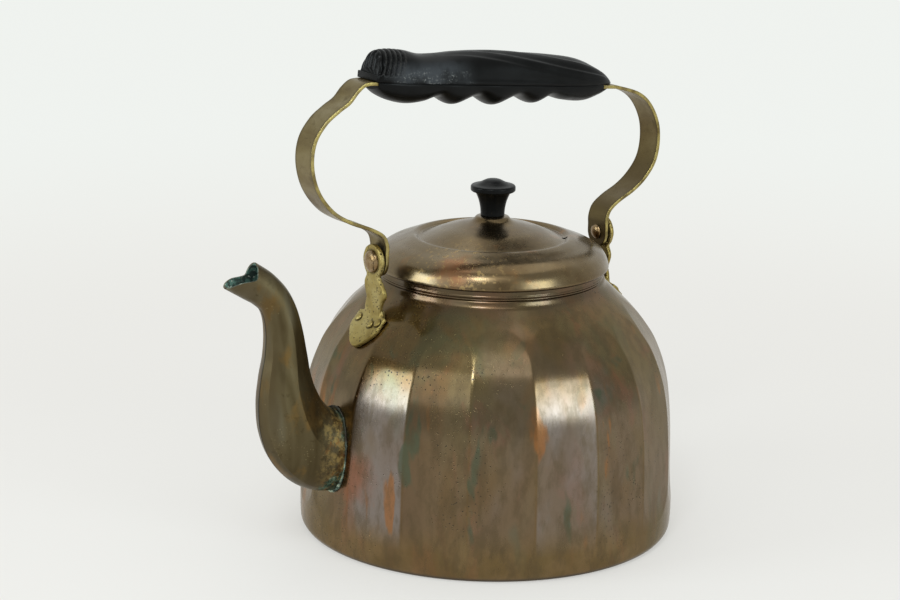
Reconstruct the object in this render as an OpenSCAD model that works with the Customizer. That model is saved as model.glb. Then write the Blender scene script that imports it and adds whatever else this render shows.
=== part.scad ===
// Swing-handled copper kettle: fluted body, two-piece brass spout, brass ears
// and strap handle with a two-piece grip, lift-off lid with a turned knob.
// Millimetres, +Z up. The origin is the centre of the flat underside and the
// spout points along -X. The swing axis runs along X.

/* [Body] */
// Radius of the body low on its wall, where it is widest
body_r = 100; // [99:0.5:101]
// Number of flat panels hammered round the wall
panel_count = 18; // [16:2:20]
// How far a panel's middle lies inside the round wall, as a share of the radius
panel_depth = 0.0135; // [0.008:0.0005:0.015]
// Thickness of the copper sheet
wall = 1.2; // [0.8:0.1:1.6]
// Radius of the flat that the kettle stands on
foot_r = 95; // [91:0.5:96]
// Outer radius of the upright neck under the lid
neck_r = 59; // [58.6:0.1:59]

/* [Spout] */
// Thickness of the brass sheet of the spout
spout_wall = 1.2; // [0.8:0.1:1.6]
// Radius of the hole in the body wall behind the spout
spout_hole_r = 12; // [8:0.5:13]

/* [Lid] */
// Thickness of the lid sheet
lid_t = 1; // [0.8:0.1:1.1]
// Depth of the ring that drops into the neck, below the lid's edge
collar_drop = 10; // [6:1:14]
// Radius of the steam hole in the lid
vent_r = 1.6; // [1:0.1:2]

/* [Handle] */
// Height of the swing axis
pivot_z = 152; // [151.6:0.1:152.4]
// Distance from the middle of the kettle to the middle of each strap end
pivot_x = 69.9; // [69.8:0.1:70]
// Width of the brass strap
strap_w = 16; // [14:0.5:17]
// Thickness of the brass strap
strap_t = 2; // [1.6:0.1:2.2]
// Radius of a pivot rivet's shank
pivot_r = 2.5; // [2:0.1:3]
// Half of the grip's greatest width
grip_half_w = 13.5; // [11:0.5:15]

/* [Ears] */
// Thickness of the brass ears
ear_t = 2.4; // [2:0.1:2.6]
// Radius of an ear's round head
ear_head_r = 9; // [8:0.5:10]
// Radius of a foot rivet's shank
foot_rivet_r = 1.5; // [1.2:0.1:1.8]

/* [Hidden] */
$fn = 96;

copper = [0.46, 0.35, 0.26];
brass = [0.55, 0.50, 0.28];
black = [0.08, 0.08, 0.08];

// ---- curves ----
function cr(a, b, c, d, t) = 0.5 * (2*b + (c - a)*t + (2*a - 5*b + 4*c - d)*t*t + (3*b - a - 3*c + d)*t*t*t);
// smooth line through the knots, n steps to a span
function spline(p, n) = [for (i = [0:len(p) - 2]) for (j = [0:n - 1])
  cr(p[max(i - 1, 0)], p[i], p[i + 1], p[min(i + 2, len(p) - 1)], j / n), p[len(p) - 1]];
function unit(v) = v / norm(v);
function tang(p, i) = unit(p[min(i + 1, len(p) - 1)] - p[max(i - 1, 0)]);
// the line moved sideways by d, to the right of its direction
function side(p, d) = [for (i = [0:len(p) - 1]) p[i] + d * [tang(p, i)[1], -tang(p, i)[0]]];
function rev(p) = [for (i = [len(p) - 1:-1:0]) p[i]];
function clamp01(t) = min(max(t, 0), 1);

// ---- body lines ----
k = body_r / 100;
// wall from the foot's round to the neck: radius, height
foot_line = spline([[97.6*k, 0.9], [99.2*k, 3.4], [99.8*k, 8], [100*k, 13]], 2);
dome_line = spline([[100*k, 27], [99.6*k, 46], [98*k, 68], [95*k, 85.5], [89.3, 101], [83, 111],
  [76, 119.4], [68, 127], [62, 132.6]], 2);
// the wall is upright between the foot's round and the dome
function body_line(d) = let (lo = side(foot_line, -d), hi = side(dome_line, -d))
  concat([for (i = [0:len(lo) - 2]) lo[i]], [[100*k - d, 13], [100*k - d, 27]], [for (i = [1:len(hi) - 1]) hi[i]]);
neck_top = 147.8;
// 0 where the wall is round, 1 where the panel is at full depth
function arch(z) = let (u = clamp01((z - 17) / 14), v = clamp01((125 - z) / 16))
  (1 - (1 - u)*(1 - u)) * (1 - (1 - v)*(1 - v));
function inset(r, z) = [r * (1 - panel_depth * arch(z)) + (arch(z) > 0 ? 0 : 0.6), z];
// the panel's line: its corners lie between those of the wall
panel_z = [16.4, 18.2, 20.6, 24, 31, 41, 51, 62, 72, 81, 89, 97, 103.5, 108.5, 113, 117.2, 120.8, 124, 125.6];
function panel_line(d) = let (p = body_line(d), r_at = [for (q = p) [q[1], q[0]]])
  concat([for (q = p) if (q[1] < 14) inset(q[0], q[1])], [for (z = panel_z) inset(lookup(z, r_at), z)],
    [for (q = p) if (q[1] > 126) inset(q[0], q[1])]);

// one pair of opposite panels, as a bar that runs right across the body
module panel_bar(pan, bot) {
  rotate([90, 0, 0]) linear_extrude(height = 240, center = true)
    polygon(concat(pan, [[64, 136], [64, 155], [-64, 155], [-64, 136]],
      [for (q = rev(pan)) [-q[0], q[1]]], [[-97.8*k, bot - 1], [97.8*k, bot - 1]]));
}

// the body's outside, or its inside when d is the wall
module body_solid(d) {
  line = body_line(d);
  pan = panel_line(d);
  intersection() {
    rotate_extrude() polygon(concat([[0, d], [foot_r - d/2, d]], line,
      [[neck_r - d, 137], [neck_r - d, neck_top + (d > 0 ? 1 : 0)], [0, neck_top + (d > 0 ? 1 : 0)]]));
    intersection_for (i = [0:panel_count/2 - 1])
      rotate([0, 0, i * 360 / panel_count]) panel_bar(pan, d);
  }
}

// ---- ears ----
ear_x0 = pivot_x + strap_t/2 + 1;        // inner face of an ear
ear_x1 = ear_x0 + ear_t;
foot_tilt = 43;                          // slope of the shoulder's normal
foot_c = [76, 119.2];                    // middle of the foot on the shoulder
foot_rivets = [[-1, -8.2], [0.5, 4.2], [-1.5, 9.8]]; // down the slope, across

module foot_axis() { translate([foot_c[0], 0, foot_c[1]]) rotate([0, 90 - foot_tilt, 0]) children(); }
module rivet_places() { foot_axis() for (p = foot_rivets) translate([p[0], p[1], 0]) children(); }

module ear_outline() {
  translate([0, pivot_z]) circle(r = ear_head_r);
  translate([-5.8, 134]) square([11.6, 14]);
  translate([0, 137.6]) circle(r = 8.5);
  translate([-7, 118]) square([14, 14]);
}
module leaf() {
  translate([1.8, 0]) circle(r = 12.2);
  translate([-5.5, -12]) square([8, 24]);
  translate([-9, -7]) square([6, 14]);
}
// an ear on the +X side
module ear() {
  difference() {
    union() {
      difference() {
        translate([ear_x0, 0, 0]) rotate([90, 0, 90]) linear_extrude(height = ear_t) ear_outline();
        ear_bed();
      }
      difference() {
        foot_axis() translate([0, 0, -8]) linear_extrude(height = 20) leaf();
        ear_bed();
        rotate([90, 0, 0]) linear_extrude(height = 60, center = true) ear_cover();
      }
    }
    translate([ear_x0 - 1, 0, pivot_z]) rotate([0, 90, 0]) cylinder(r = pivot_r, h = ear_t + 2);
    rivet_places() cylinder(r = foot_rivet_r, h = 30, center = true);
  }
}
// the body under an ear: the panel's own line, filled inwards
module ear_bed() {
  rotate([90, 0, 0]) linear_extrude(height = 60, center = true)
    polygon(concat([[20, 20]], [for (q = panel_line(0)) if (q[1] > 30) q], [[59.2, 137], [20, 137]]));
}
// everything more than an ear's thickness above the panel
module ear_cover() {
  top = side([for (q = panel_line(0)) if (q[1] > 60) q], ear_t - 0.2);
  polygon(concat(top, [[20, 150], [20, 200], [200, 200], [200, 60]]));
}

module rear() { children(); }
module front() { rotate([0, 0, 180]) children(); }

module ear_rivets() {
  rivet_places() {
    translate([0, 0, -5]) cylinder(r = foot_rivet_r, h = 7.6);
    translate([0, 0, 2.2]) intersection() {
      translate([0, 0, -1.4]) sphere(r = 2.9);
      cylinder(r = 3, h = 3);
    }
  }
}

// ---- pivot rivets ----
module pivot_rivet() {
  x_in = pivot_x - strap_t/2 - 0.3;
  translate([0, 0, pivot_z]) rotate([0, 90, 0]) {
    translate([0, 0, x_in - 1.6]) cylinder(r = 4, h = 1.6);
    translate([0, 0, x_in]) cylinder(r = pivot_r, h = ear_x1 - x_in);
    translate([0, 0, ear_x1]) intersection() {
      translate([0, 0, -5.4]) sphere(r = 8);
      cylinder(r = 6, h = 3);
    }
  }
}

// ---- spout ----
// middle of the tube, half depth in the plane of the spout, half width across it
spout_knots = [[-86, 55, 22, 14.4], [-103, 56.2, 21.8, 14.6], [-114, 63.5, 21, 14.8],
  [-120.4, 73.5, 19.6, 14.4], [-124, 85.5, 17, 13.2], [-125.4, 97, 14.2, 12],
  [-125.5, 109, 11.8, 10.8], [-126.5, 121.5, 10.1, 9.8], [-128.6, 131.5, 9.2, 9],
  [-132.4, 139.4, 8.8, 8.2], [-138.2, 145.4, 9.1, 7.5], [-144.4, 149.6, 9.4, 7], [-156, 156.8, 9.5, 6.5]];
spout_line = spline(spout_knots, 2);
half_steps = 10;
function spout_tan(i) = let (a = spout_line[max(i - 1, 0)], b = spout_line[min(i + 1, len(spout_line) - 1)])
  unit([b[0] - a[0], b[1] - a[1]]);
// point at angle a round ring i; -90 is the front seam, 90 the back seam
function spout_pt(i, a, d, s) = let (q = spout_line[i], t = spout_tan(i), n = [-t[1], t[0]],
  c = cos(a), u = -(q[2] - d) * sin(a), w = (q[3] - d) * pow(c, 0.9))
  [q[0] + n[0]*u, s * w, q[1] + n[1]*u];
function ring_half(i, d0, d1, s) = concat(
  [for (j = [0:half_steps]) spout_pt(i, -90 + 180*j/half_steps, d0, j == 0 || j == half_steps ? 0 : s)],
  [for (j = [half_steps:-1:0]) spout_pt(i, -90 + 180*j/half_steps, d1, j == 0 || j == half_steps ? 0 : s)]);

// half tube between two offsets of the spout's surface; s = 1 or -1 picks the side
module spout_half_tube(d0, d1, s, i0, i1) {
  n = 2 * (half_steps + 1);
  m = i1 - i0;
  pts = [for (i = [i0:i1]) each ring_half(i, d0, d1, s)];
  sides = [for (i = [0:m - 1]) for (j = [0:n - 1]) let (a = i*n + j, b = i*n + (j + 1) % n)
    each [[a, b, b + n], [a, b + n, a + n]]];
  cap = [for (j = [0:half_steps - 1]) let (o = j, p = n - 1 - j) each [[o, p, p - 1], [o, p - 1, o + 1]]];
  far = [for (f = cap) [for (v = rev(f)) v + m*n]];
  faces = concat(sides, cap, far);
  polyhedron(points = pts, faces = s > 0 ? faces : [for (f = faces) rev(f)], convexity = 6);
}
module spout_cut() {
  // the body's panel behind the spout, and the notch that leaves the pouring lip
  rotate([90, 0, 0]) linear_extrude(height = 60, center = true)
    polygon(concat([for (q = panel_line(0)) if (q[1] > 20 && q[1] < 120) [-q[0], q[1]]], [[-60, 120], [-60, 20]]));
  rotate([90, 0, 0]) linear_extrude(height = 60, center = true)
    polygon([[-141.6, 161.5], [-144.6, 151.7], [-162, 148], [-175, 148], [-175, 180], [-141.6, 180]]);
}
module spout_half(s) { difference() { spout_half_tube(0, spout_wall, s, 0, len(spout_line) - 1); spout_cut(); } }

// ---- strap ----
grip_tilt = 5;
grip_o = [-3, 239.5];
left_knots = [[-pivot_x, pivot_z], [-pivot_x, 156], [-pivot_x, 161], [-72.4, 166.4], [-80, 170.8], [-92, 175.6], [-102.5, 182.2],
  [-110.8, 193], [-114.4, 206], [-113, 218], [-107, 227], [-99.4, 232.8], [-93.2, 236.6], [-88.6, 241.6], [-84, 244.8]];
right_knots = [[pivot_x, pivot_z], [pivot_x, 155], [pivot_x, 159.6], [72, 165], [78, 169.6], [87.4, 174.6], [95, 180.6],
  [101, 189], [103.2, 199.6], [101.8, 210.6], [96, 221], [87.6, 227.4]];
// points along the grip's parting plane, u to the right and v up
function grip_xz(u, v) = [grip_o[0] + u*cos(grip_tilt) + v*sin(grip_tilt), grip_o[1] - u*sin(grip_tilt) + v*cos(grip_tilt)];
strap_v = -strap_t/2 - 0.05;
strap_line = concat(spline(concat(left_knots, [grip_xz(-76, strap_v)]), 3),
  [for (u = [-72, -40, 0, 40, 72]) grip_xz(u, strap_v)],
  rev(spline(concat(right_knots, [grip_xz(77, strap_v)]), 3)));

module bail_strap() {
  color(brass) difference() {
    union() {
      rotate([90, 0, 0]) linear_extrude(height = strap_w, center = true)
        polygon(concat(side(strap_line, strap_t/2), rev(side(strap_line, -strap_t/2))));
      for (s = [-1, 1]) translate([s*pivot_x, 0, pivot_z]) rotate([0, 90, 0])
        cylinder(r = strap_w/2, h = strap_t, center = true);
    }
    for (s = [-1, 1]) translate([s*pivot_x, 0, pivot_z]) rotate([0, 90, 0])
      cylinder(r = pivot_r + 0.06, h = 6, center = true);
    for (u = screw_u) grip_at(u) cylinder(r = 1.8, h = 10, center = true);
  }
}

// ---- grip ----
screw_u = [-52, 46];
module grip_at(u) { translate([grip_o[0], 0, grip_o[1]]) rotate([0, grip_tilt, 0]) translate([u, 0, 0]) children(); }
// along the grip, height above the parting plane, half width
upper_knots = [[-74.5, 6, 8.8], [-73, 12, 9.8], [-70, 15.4, 10.6], [-64, 16.4, 11.6], [-56, 15.4, 12.6], [-47, 13.8, 13],
  [-36, 14.2, 13.2], [-24, 15.6, 13.5], [-8, 16.6, 13.5], [24, 16.4, 13.2], [46, 15, 12.4], [57, 12.8, 11], [66, 9, 9], [72, 5.4, 6.4], [75.5, 2.2, 3.6]];
lower_knots = [[-74, 4.6, 8.8], [-70, 7.6, 10.2], [-63, 10.2, 11.8], [-54, 11.6, 12.8], [-45, 10.6, 12.6], [-36, 8, 12.6], [-25.5, 11.8, 13.2],
  [-12.5, 7.4, 12.6], [-0.5, 12, 13.2], [12.5, 7.2, 12.6], [24.5, 10.8, 12.8], [34, 7, 12.2], [45, 9, 12.2], [57, 9.4, 11], [66, 6.6, 9], [72, 3.8, 6.4], [75.5, 1.8, 3.6]];
grip_steps = 12;
module grip_half(knots, s) {
  line = spline(knots, 2);
  n = grip_steps + 1;
  pts = [for (q = line) for (j = [0:grip_steps]) let (a = 180*j/grip_steps,
    w = q[2] * grip_half_w/13.5 * cos(a), h = q[1] * pow(sin(a), 0.8)) [q[0], -w, j == 0 || j == grip_steps ? 0 : s*h]];
  m = len(line) - 1;
  sides = [for (i = [0:m - 1]) for (j = [0:n - 1]) let (a = i*n + j, b = i*n + (j + 1) % n)
    each [[a, b + n, b], [a, a + n, b + n]]];
  near = [for (j = [1:n - 2]) [0, j, j + 1]];
  far = [for (f = near) [for (v = rev(f)) v + m*n]];
  faces = concat(sides, near, far);
  polyhedron(points = pts, faces = s > 0 ? [for (f = faces) rev(f)] : faces, convexity = 6);
}
module grip_upper_half() {
  color(black) grip_at(0) difference() {
    union() {
      grip_half(upper_knots, 1);
      translate([-76, -9.4, 0]) cube([8, 18.8, 3.6]);
    }
    for (u = screw_u) translate([u, 0, -1]) cylinder(r = 1.5, h = 9);
  }
}
module grip_lower_half() {
  color(black) grip_at(0) difference() {
    grip_half(lower_knots, -1);
    translate([-90, -strap_w/2 - 0.2, -strap_t - 0.1]) cube([180, strap_w + 0.4, strap_t + 1.1]);
    for (u = screw_u) translate([u, 0, -30]) cylinder(r = 1.5, h = 31);
    for (u = screw_u) translate([u, 0, -30]) cylinder(r = 3.2, h = 23.5);
  }
}
module grip_screws() {
  color(brass) grip_at(0) for (u = screw_u) translate([u, 0, 0]) {
    translate([0, 0, -6.5]) cylinder(r = 1.5, h = 14);
    difference() {
      translate([0, 0, -8.5]) cylinder(r = 3, h = 2);
      translate([-4, -0.4, -8.6]) cube([8, 0.8, 0.9]);
    }
  }
}

// ---- lid ----
lid_knots = [[60.5, 141.8], [61.6, 143.4], [62, 145.4], [61.5, 147.5], [60, 149.3], [57, 151.2], [53, 153.3],
  [48.5, 155.5], [44.5, 157.3], [41.4, 158.1], [39.6, 157.4], [38.4, 156.6], [36.4, 157], [31.5, 159], [25, 161.6], [18, 163.6], [13, 165], [10.8, 165.9], [9.6, 166.8], [8.4, 168], [6.4, 168.4]];
lid_line = spline(lid_knots, 2);
lid_under = side(lid_line, -lid_t);
module lid_shell() {
  color(copper) difference() {
    rotate_extrude() polygon(concat(lid_line, [[0, 168.4], [0, 168.4 - lid_t]], rev(lid_under)));
    translate([0, 0, 160]) cylinder(r = 2.2, h = 20);
    rotate([0, 0, -34]) translate([38.4, 0, 150]) cylinder(r = vent_r, h = 20);
  }
}
module lid_collar() {
  color(copper) difference() {
    translate([0, 0, 141.8 - collar_drop]) cylinder(r = neck_r - wall - 0.5, h = 15 + collar_drop);
    translate([0, 0, 120]) cylinder(r = neck_r - wall - 1.5, h = 60);
    rotate_extrude() polygon(concat([for (q = lid_under) if (q[0] > 50) q], [[50, 180], [70, 180], [70, lid_under[0][1]]]));
  }
}
module lid_knob() {
  color(black) difference() {
    rotate_extrude() polygon(concat([[0, 168.4], [6.2, 168.4]],
      spline([[6.3, 169], [6.4, 172], [7, 176], [8.2, 179.6], [9.4, 181.2]], 3),
      [[11.3, 181.4], [11.8, 182], [11.8, 183.9], [11.4, 184.5]],
      spline([[10.8, 184.7], [8.6, 185.2], [6.4, 186.2], [4, 187.4], [2, 187.9], [0, 188]], 2)));
    translate([0, 0, 163]) cylinder(r = 2, h = 17);
  }
}
module knob_washer() {
  color(brass) translate([0, 0, 168.4 - lid_t - 1]) difference() {
    cylinder(r = 5.5, h = 1);
    translate([0, 0, -1]) cylinder(r = 2.2, h = 4);
  }
}
module knob_screw() {
  z = 168.4 - lid_t - 1;
  color(brass) difference() {
    union() {
      translate([0, 0, z]) cylinder(r = 2, h = 179 - z);
      translate([0, 0, z]) intersection() {
        translate([0, 0, 2.2]) sphere(r = 4.6);
        translate([0, 0, -3]) cylinder(r = 5, h = 3);
      }
    }
    translate([-5, -0.5, z - 3]) cube([10, 1, 1.6]);
  }
}

// ---- pieces ----
module body_shell() {
  color(copper) difference() {
    body_solid(0);
    body_solid(wall);
    translate([-110, 0, 51.5]) rotate([0, 90, 0]) cylinder(r = spout_hole_r, h = 40);
    front() rivet_places() cylinder(r = foot_rivet_r, h = 30, center = true);
    rear() rivet_places() cylinder(r = foot_rivet_r, h = 30, center = true);
  }
}
module spout_left_half() { color(brass) spout_half(1); }
module spout_right_half() { color(brass) spout_half(-1); }
module seam_zone() {
  outer = [for (q = panel_line(0)) if (q[1] > 20 && q[1] < 110) [-q[0] - 1.6, q[1]]];
  rotate([90, 0, 0]) linear_extrude(height = 60, center = true) polygon(concat(outer, [for (q = rev(outer)) [q[0] + 1.6, q[1]]]));
}
// the spout's outline where it meets the wall, e outside the brass: across, up
function foot_oval(e) = [for (i = [0:47]) let (c = cos(7.5*i)) [(14.5 + e)*sign(c)*pow(abs(c), 0.9), 56 + (21.9 + e)*sin(7.5*i)]];
module spout_solder_seam() {
  color([0.35, 0.47, 0.38]) intersection() {
    translate([-112, 0, 0]) rotate([90, 0, 90]) linear_extrude(height = 24) difference() {
      polygon(foot_oval(1.4));
      polygon(foot_oval(0));
    }
    seam_zone();
  }
}
module front_ear() { color(brass) front() ear(); }
module rear_ear() { color(brass) rear() ear(); }
module front_ear_rivets() { color([0.5, 0.4, 0.3]) front() ear_rivets(); }
module rear_ear_rivets() { color([0.5, 0.4, 0.3]) rear() ear_rivets(); }
module front_pivot_rivet() { color([0.6, 0.42, 0.32]) front() pivot_rivet(); }
module rear_pivot_rivet() { color([0.6, 0.42, 0.32]) rear() pivot_rivet(); }

body_shell();
spout_left_half();
spout_right_half();
spout_solder_seam();
front_ear();
rear_ear();
front_ear_rivets();
rear_ear_rivets();
front_pivot_rivet();
rear_pivot_rivet();
bail_strap();
grip_upper_half();
grip_lower_half();
grip_screws();
lid_shell();
lid_collar();
lid_knob();
knob_washer();
knob_screw();
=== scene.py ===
import math
import bpy
import numpy as np
from mathutils import Matrix, Vector


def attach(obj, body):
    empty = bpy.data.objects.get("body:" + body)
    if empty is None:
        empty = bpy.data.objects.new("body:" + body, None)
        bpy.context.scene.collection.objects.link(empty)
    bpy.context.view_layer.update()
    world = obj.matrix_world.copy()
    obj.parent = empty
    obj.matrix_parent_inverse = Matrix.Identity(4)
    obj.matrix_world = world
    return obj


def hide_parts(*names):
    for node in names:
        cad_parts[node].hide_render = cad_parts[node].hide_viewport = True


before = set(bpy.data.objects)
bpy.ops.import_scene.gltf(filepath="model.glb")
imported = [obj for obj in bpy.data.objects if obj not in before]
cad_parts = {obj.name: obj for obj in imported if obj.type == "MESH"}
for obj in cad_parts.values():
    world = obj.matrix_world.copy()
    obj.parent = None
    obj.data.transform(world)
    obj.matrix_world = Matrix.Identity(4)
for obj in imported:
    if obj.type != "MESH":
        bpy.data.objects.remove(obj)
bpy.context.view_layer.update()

MM = 0.001

# ------------------------------------------------------------------ camera
cam_data = bpy.data.cameras.new("camera")
cam_data.lens = 100.0
cam_data.sensor_width = 36.0
cam_data.sensor_fit = "HORIZONTAL"
cam_data.clip_start = 0.05
cam_data.clip_end = 60.0
cam = bpy.data.objects.new("camera", cam_data)
bpy.context.scene.collection.objects.link(cam)
c_fw = Vector((0.541372, 0.802616, -0.250447))
c_up = Vector((0.122368, 0.219486, 0.967911))
c_rt = c_fw.cross(c_up).normalized()
c_up = c_rt.cross(c_fw).normalized()
cam.matrix_world = Matrix((
    (c_rt.x, c_up.x, -c_fw.x, -0.734833),
    (c_rt.y, c_up.y, -c_fw.y, -1.051285),
    (c_rt.z, c_up.z, -c_fw.z, 0.453548),
    (0, 0, 0, 1)))
bpy.context.scene.camera = cam
bpy.context.scene.view_settings.view_transform = "Standard"
bpy.context.scene.view_settings.look = "None"


# ------------------------------------------------------------------ numbers
def cr(a, b, c, d, t):
    return 0.5 * (2 * b + (c - a) * t + (2 * a - 5 * b + 4 * c - d) * t * t + (3 * b - a - 3 * c + d) * t * t * t)


def spline(p, n):
    """Smooth line through the knots, n steps to a span."""
    p = np.array(p, float)
    out = []
    for i in range(len(p) - 1):
        a, b, c, d = p[max(i - 1, 0)], p[i], p[i + 1], p[min(i + 2, len(p) - 1)]
        for j in range(n):
            out.append(cr(a, b, c, d, j / n))
    out.append(p[-1])
    return np.array(out)


def tangents(p):
    t = np.empty_like(p)
    t[1:-1] = p[2:] - p[:-2]
    t[0] = p[1] - p[0]
    t[-1] = p[-1] - p[-2]
    return t / np.linalg.norm(t, axis=1)[:, None]


def side(p, d):
    t = tangents(p)
    return p + d * np.stack([t[:, 1], -t[:, 0]], 1)


def clamp01(x):
    return np.clip(x, 0, 1)


def smooth(x):
    x = clamp01(x)
    return x * x * (3 - 2 * x)


def hashed(i, j, k, seed):
    n = (i * 73856093) ^ (j * 19349663) ^ (k * 83492791) ^ (seed * 2654435761)
    n &= 0xFFFFFFFF
    n = ((n ^ (n >> 13)) * 1274126177) & 0xFFFFFFFF
    n = n ^ (n >> 16)
    return (n & 0xFFFF) / 32767.5 - 1


def vnoise(P, size, seed=0, octaves=1):
    """Smooth noise from -1 to 1 at points P, with features of the given size."""
    out = np.zeros(len(P))
    amp, tot = 1.0, 0.0
    for o in range(octaves):
        q = P / size + seed * 3.17
        i = np.floor(q).astype(np.int64)
        f = q - i
        f = f * f * (3 - 2 * f)
        acc = 0
        for dx in (0, 1):
            for dy in (0, 1):
                for dz in (0, 1):
                    w = (f[:, 0] if dx else 1 - f[:, 0]) * (f[:, 1] if dy else 1 - f[:, 1]) * (f[:, 2] if dz else 1 - f[:, 2])
                    acc = acc + w * hashed(i[:, 0] + dx, i[:, 1] + dy, i[:, 2] + dz, seed + o)
        out += amp * acc
        tot += amp
        amp *= 0.5
        size = size / 2
    return out / tot


# ------------------------------------------------------------------ mesh helpers
def volume(V, quads, tris):
    T = [tris] if len(tris) else []
    if len(quads):
        T += [quads[:, [0, 1, 2]], quads[:, [0, 2, 3]]]
    T = np.concatenate(T)
    a, b, c = V[T[:, 0]], V[T[:, 1]], V[T[:, 2]]
    return np.einsum("ij,ij->i", a, np.cross(b, c)).sum() / 6


def build(name, V, quads=(), tris=(), angle=None, flip=True):
    """A mesh object from points in millimetres."""
    V = np.asarray(V, float)
    quads = np.asarray(quads, int).reshape(-1, 4)
    tris = np.asarray(tris, int).reshape(-1, 3)
    if flip and volume(V, quads, tris) < 0:
        quads, tris = quads[:, ::-1], tris[:, ::-1]
    me = bpy.data.meshes.new(name)
    me.vertices.add(len(V))
    me.vertices.foreach_set("co", (V * MM).astype(np.float32).ravel())
    nl = len(quads) * 4 + len(tris) * 3
    me.loops.add(nl)
    me.loops.foreach_set("vertex_index", np.concatenate([quads.ravel(), tris.ravel()]).astype(np.int32))
    me.polygons.add(len(quads) + len(tris))
    me.polygons.foreach_set("loop_start", np.concatenate([np.arange(len(quads)) * 4, len(quads) * 4 + np.arange(len(tris)) * 3]).astype(np.int32))
    me.update(calc_edges=True)
    me.validate()
    shade(me, angle)
    o = bpy.data.objects.new(name, me)
    bpy.context.scene.collection.objects.link(o)
    return o


def shade(me, angle=None):
    me.polygons.foreach_set("use_smooth", np.ones(len(me.polygons), bool))
    if angle is not None:
        me.set_sharp_from_angle(angle=math.radians(angle))
    me.update()


def grid_faces(n, m, wrap=True, base=0):
    """Quads over an n by m grid of points, m wrapping round."""
    mm = m if wrap else m - 1
    i, j = np.meshgrid(np.arange(n - 1), np.arange(mm), indexing="ij")
    j2 = (j + 1) % m
    return base + np.stack([i * m + j, i * m + j2, (i + 1) * m + j2, (i + 1) * m + j], -1).reshape(-1, 4)


def closed_rows(name, rows, angle=None, caps=(True, True)):
    """A closed solid from rows of points: an (n, m, 3) array whose rows wrap round, capped at both ends by their middles."""
    n, m, _ = rows.shape
    V = rows.reshape(-1, 3)
    q = grid_faces(n, m)
    tris = []
    extra = []
    j = np.arange(m)
    if caps[0]:
        extra.append(rows[0].mean(0))
        tris.append(np.stack([np.full(m, n * m), (j + 1) % m, j], 1))
    if caps[1]:
        extra.append(rows[-1].mean(0))
        tris.append(np.stack([np.full(m, n * m + len(extra) - 1), (n - 1) * m + j, (n - 1) * m + (j + 1) % m], 1))
    V = np.concatenate([V, np.array(extra).reshape(-1, 3)])
    return build(name, V, q, np.concatenate(tris) if tris else (), angle)


def turned(name, profile, n=192, angle=35, wobble=None):
    """A turned piece: profile is radius and height from one point on the axis to the other."""
    p = np.asarray(profile, float)
    a = np.arange(n) * 2 * math.pi / n
    inner = p[1:-1]
    rows = np.stack([inner[:, :1] * np.cos(a), inner[:, :1] * np.sin(a), np.repeat(inner[:, 1:], n, 1)], -1)
    if wobble is not None:
        rows = wobble(rows)
    V = np.concatenate([rows.reshape(-1, 3), [[0, 0, p[0, 1]], [0, 0, p[-1, 1]]]])
    k = len(inner)
    j = np.arange(n)
    t = np.concatenate([np.stack([np.full(n, k * n), (j + 1) % n, j], 1),
                        np.stack([np.full(n, k * n + 1), (k - 1) * n + j, (k - 1) * n + (j + 1) % n], 1)])
    return build(name, V, grid_faces(k, n), t, angle)


def place(o, m):
    o.data.transform(m)
    o.data.update()
    return o


def round_corner(p, radius, n=6):
    """Round the corners of an open line."""
    p = [np.array(q, float) for q in p]
    out = [p[0]]
    for i in range(1, len(p) - 1):
        r = radius[i] if isinstance(radius, (list, tuple)) else radius
        u, v = p[i - 1] - p[i], p[i + 1] - p[i]
        lu, lv = np.linalg.norm(u), np.linalg.norm(v)
        r = min(r, lu * 0.45, lv * 0.45)
        if r < 1e-4:
            out.append(p[i])
            continue
        a, b = p[i] + u / lu * r, p[i] + v / lv * r
        for k in range(n + 1):
            t = k / n
            out.append((1 - t) ** 2 * a + 2 * t * (1 - t) * p[i] + t * t * b)
    out.append(p[-1])
    return np.array(out)


def modifier(o, kind, **k):
    m = o.modifiers.new(kind, kind)
    for a, b in k.items():
        setattr(m, a, b)
    return m


def bake_modifiers(o, angle=None):
    """Turns the modifiers into the piece's own mesh."""
    dg = bpy.context.evaluated_depsgraph_get()
    dg.update()
    me = bpy.data.meshes.new_from_object(o.evaluated_get(dg), depsgraph=dg)
    o.modifiers.clear()
    old = o.data
    o.data = me
    bpy.data.meshes.remove(old)
    shade(o.data, angle)
    return o


def coords(me):
    co = np.zeros(len(me.vertices) * 3, np.float32)
    me.vertices.foreach_get("co", co)
    return co.reshape(-1, 3).astype(float)


def normals(me):
    co = np.zeros(len(me.vertices) * 3, np.float32)
    me.vertex_normals.foreach_get("vector", co)
    return co.reshape(-1, 3).astype(float)


def set_coords(me, V):
    me.vertices.foreach_set("co", V.astype(np.float32).ravel())
    me.update()


def attribute(o, name, values):
    a = o.data.attributes.get(name) or o.data.attributes.new(name, "FLOAT", "POINT")
    a.data.foreach_set("value", np.asarray(values, np.float32))


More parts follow.
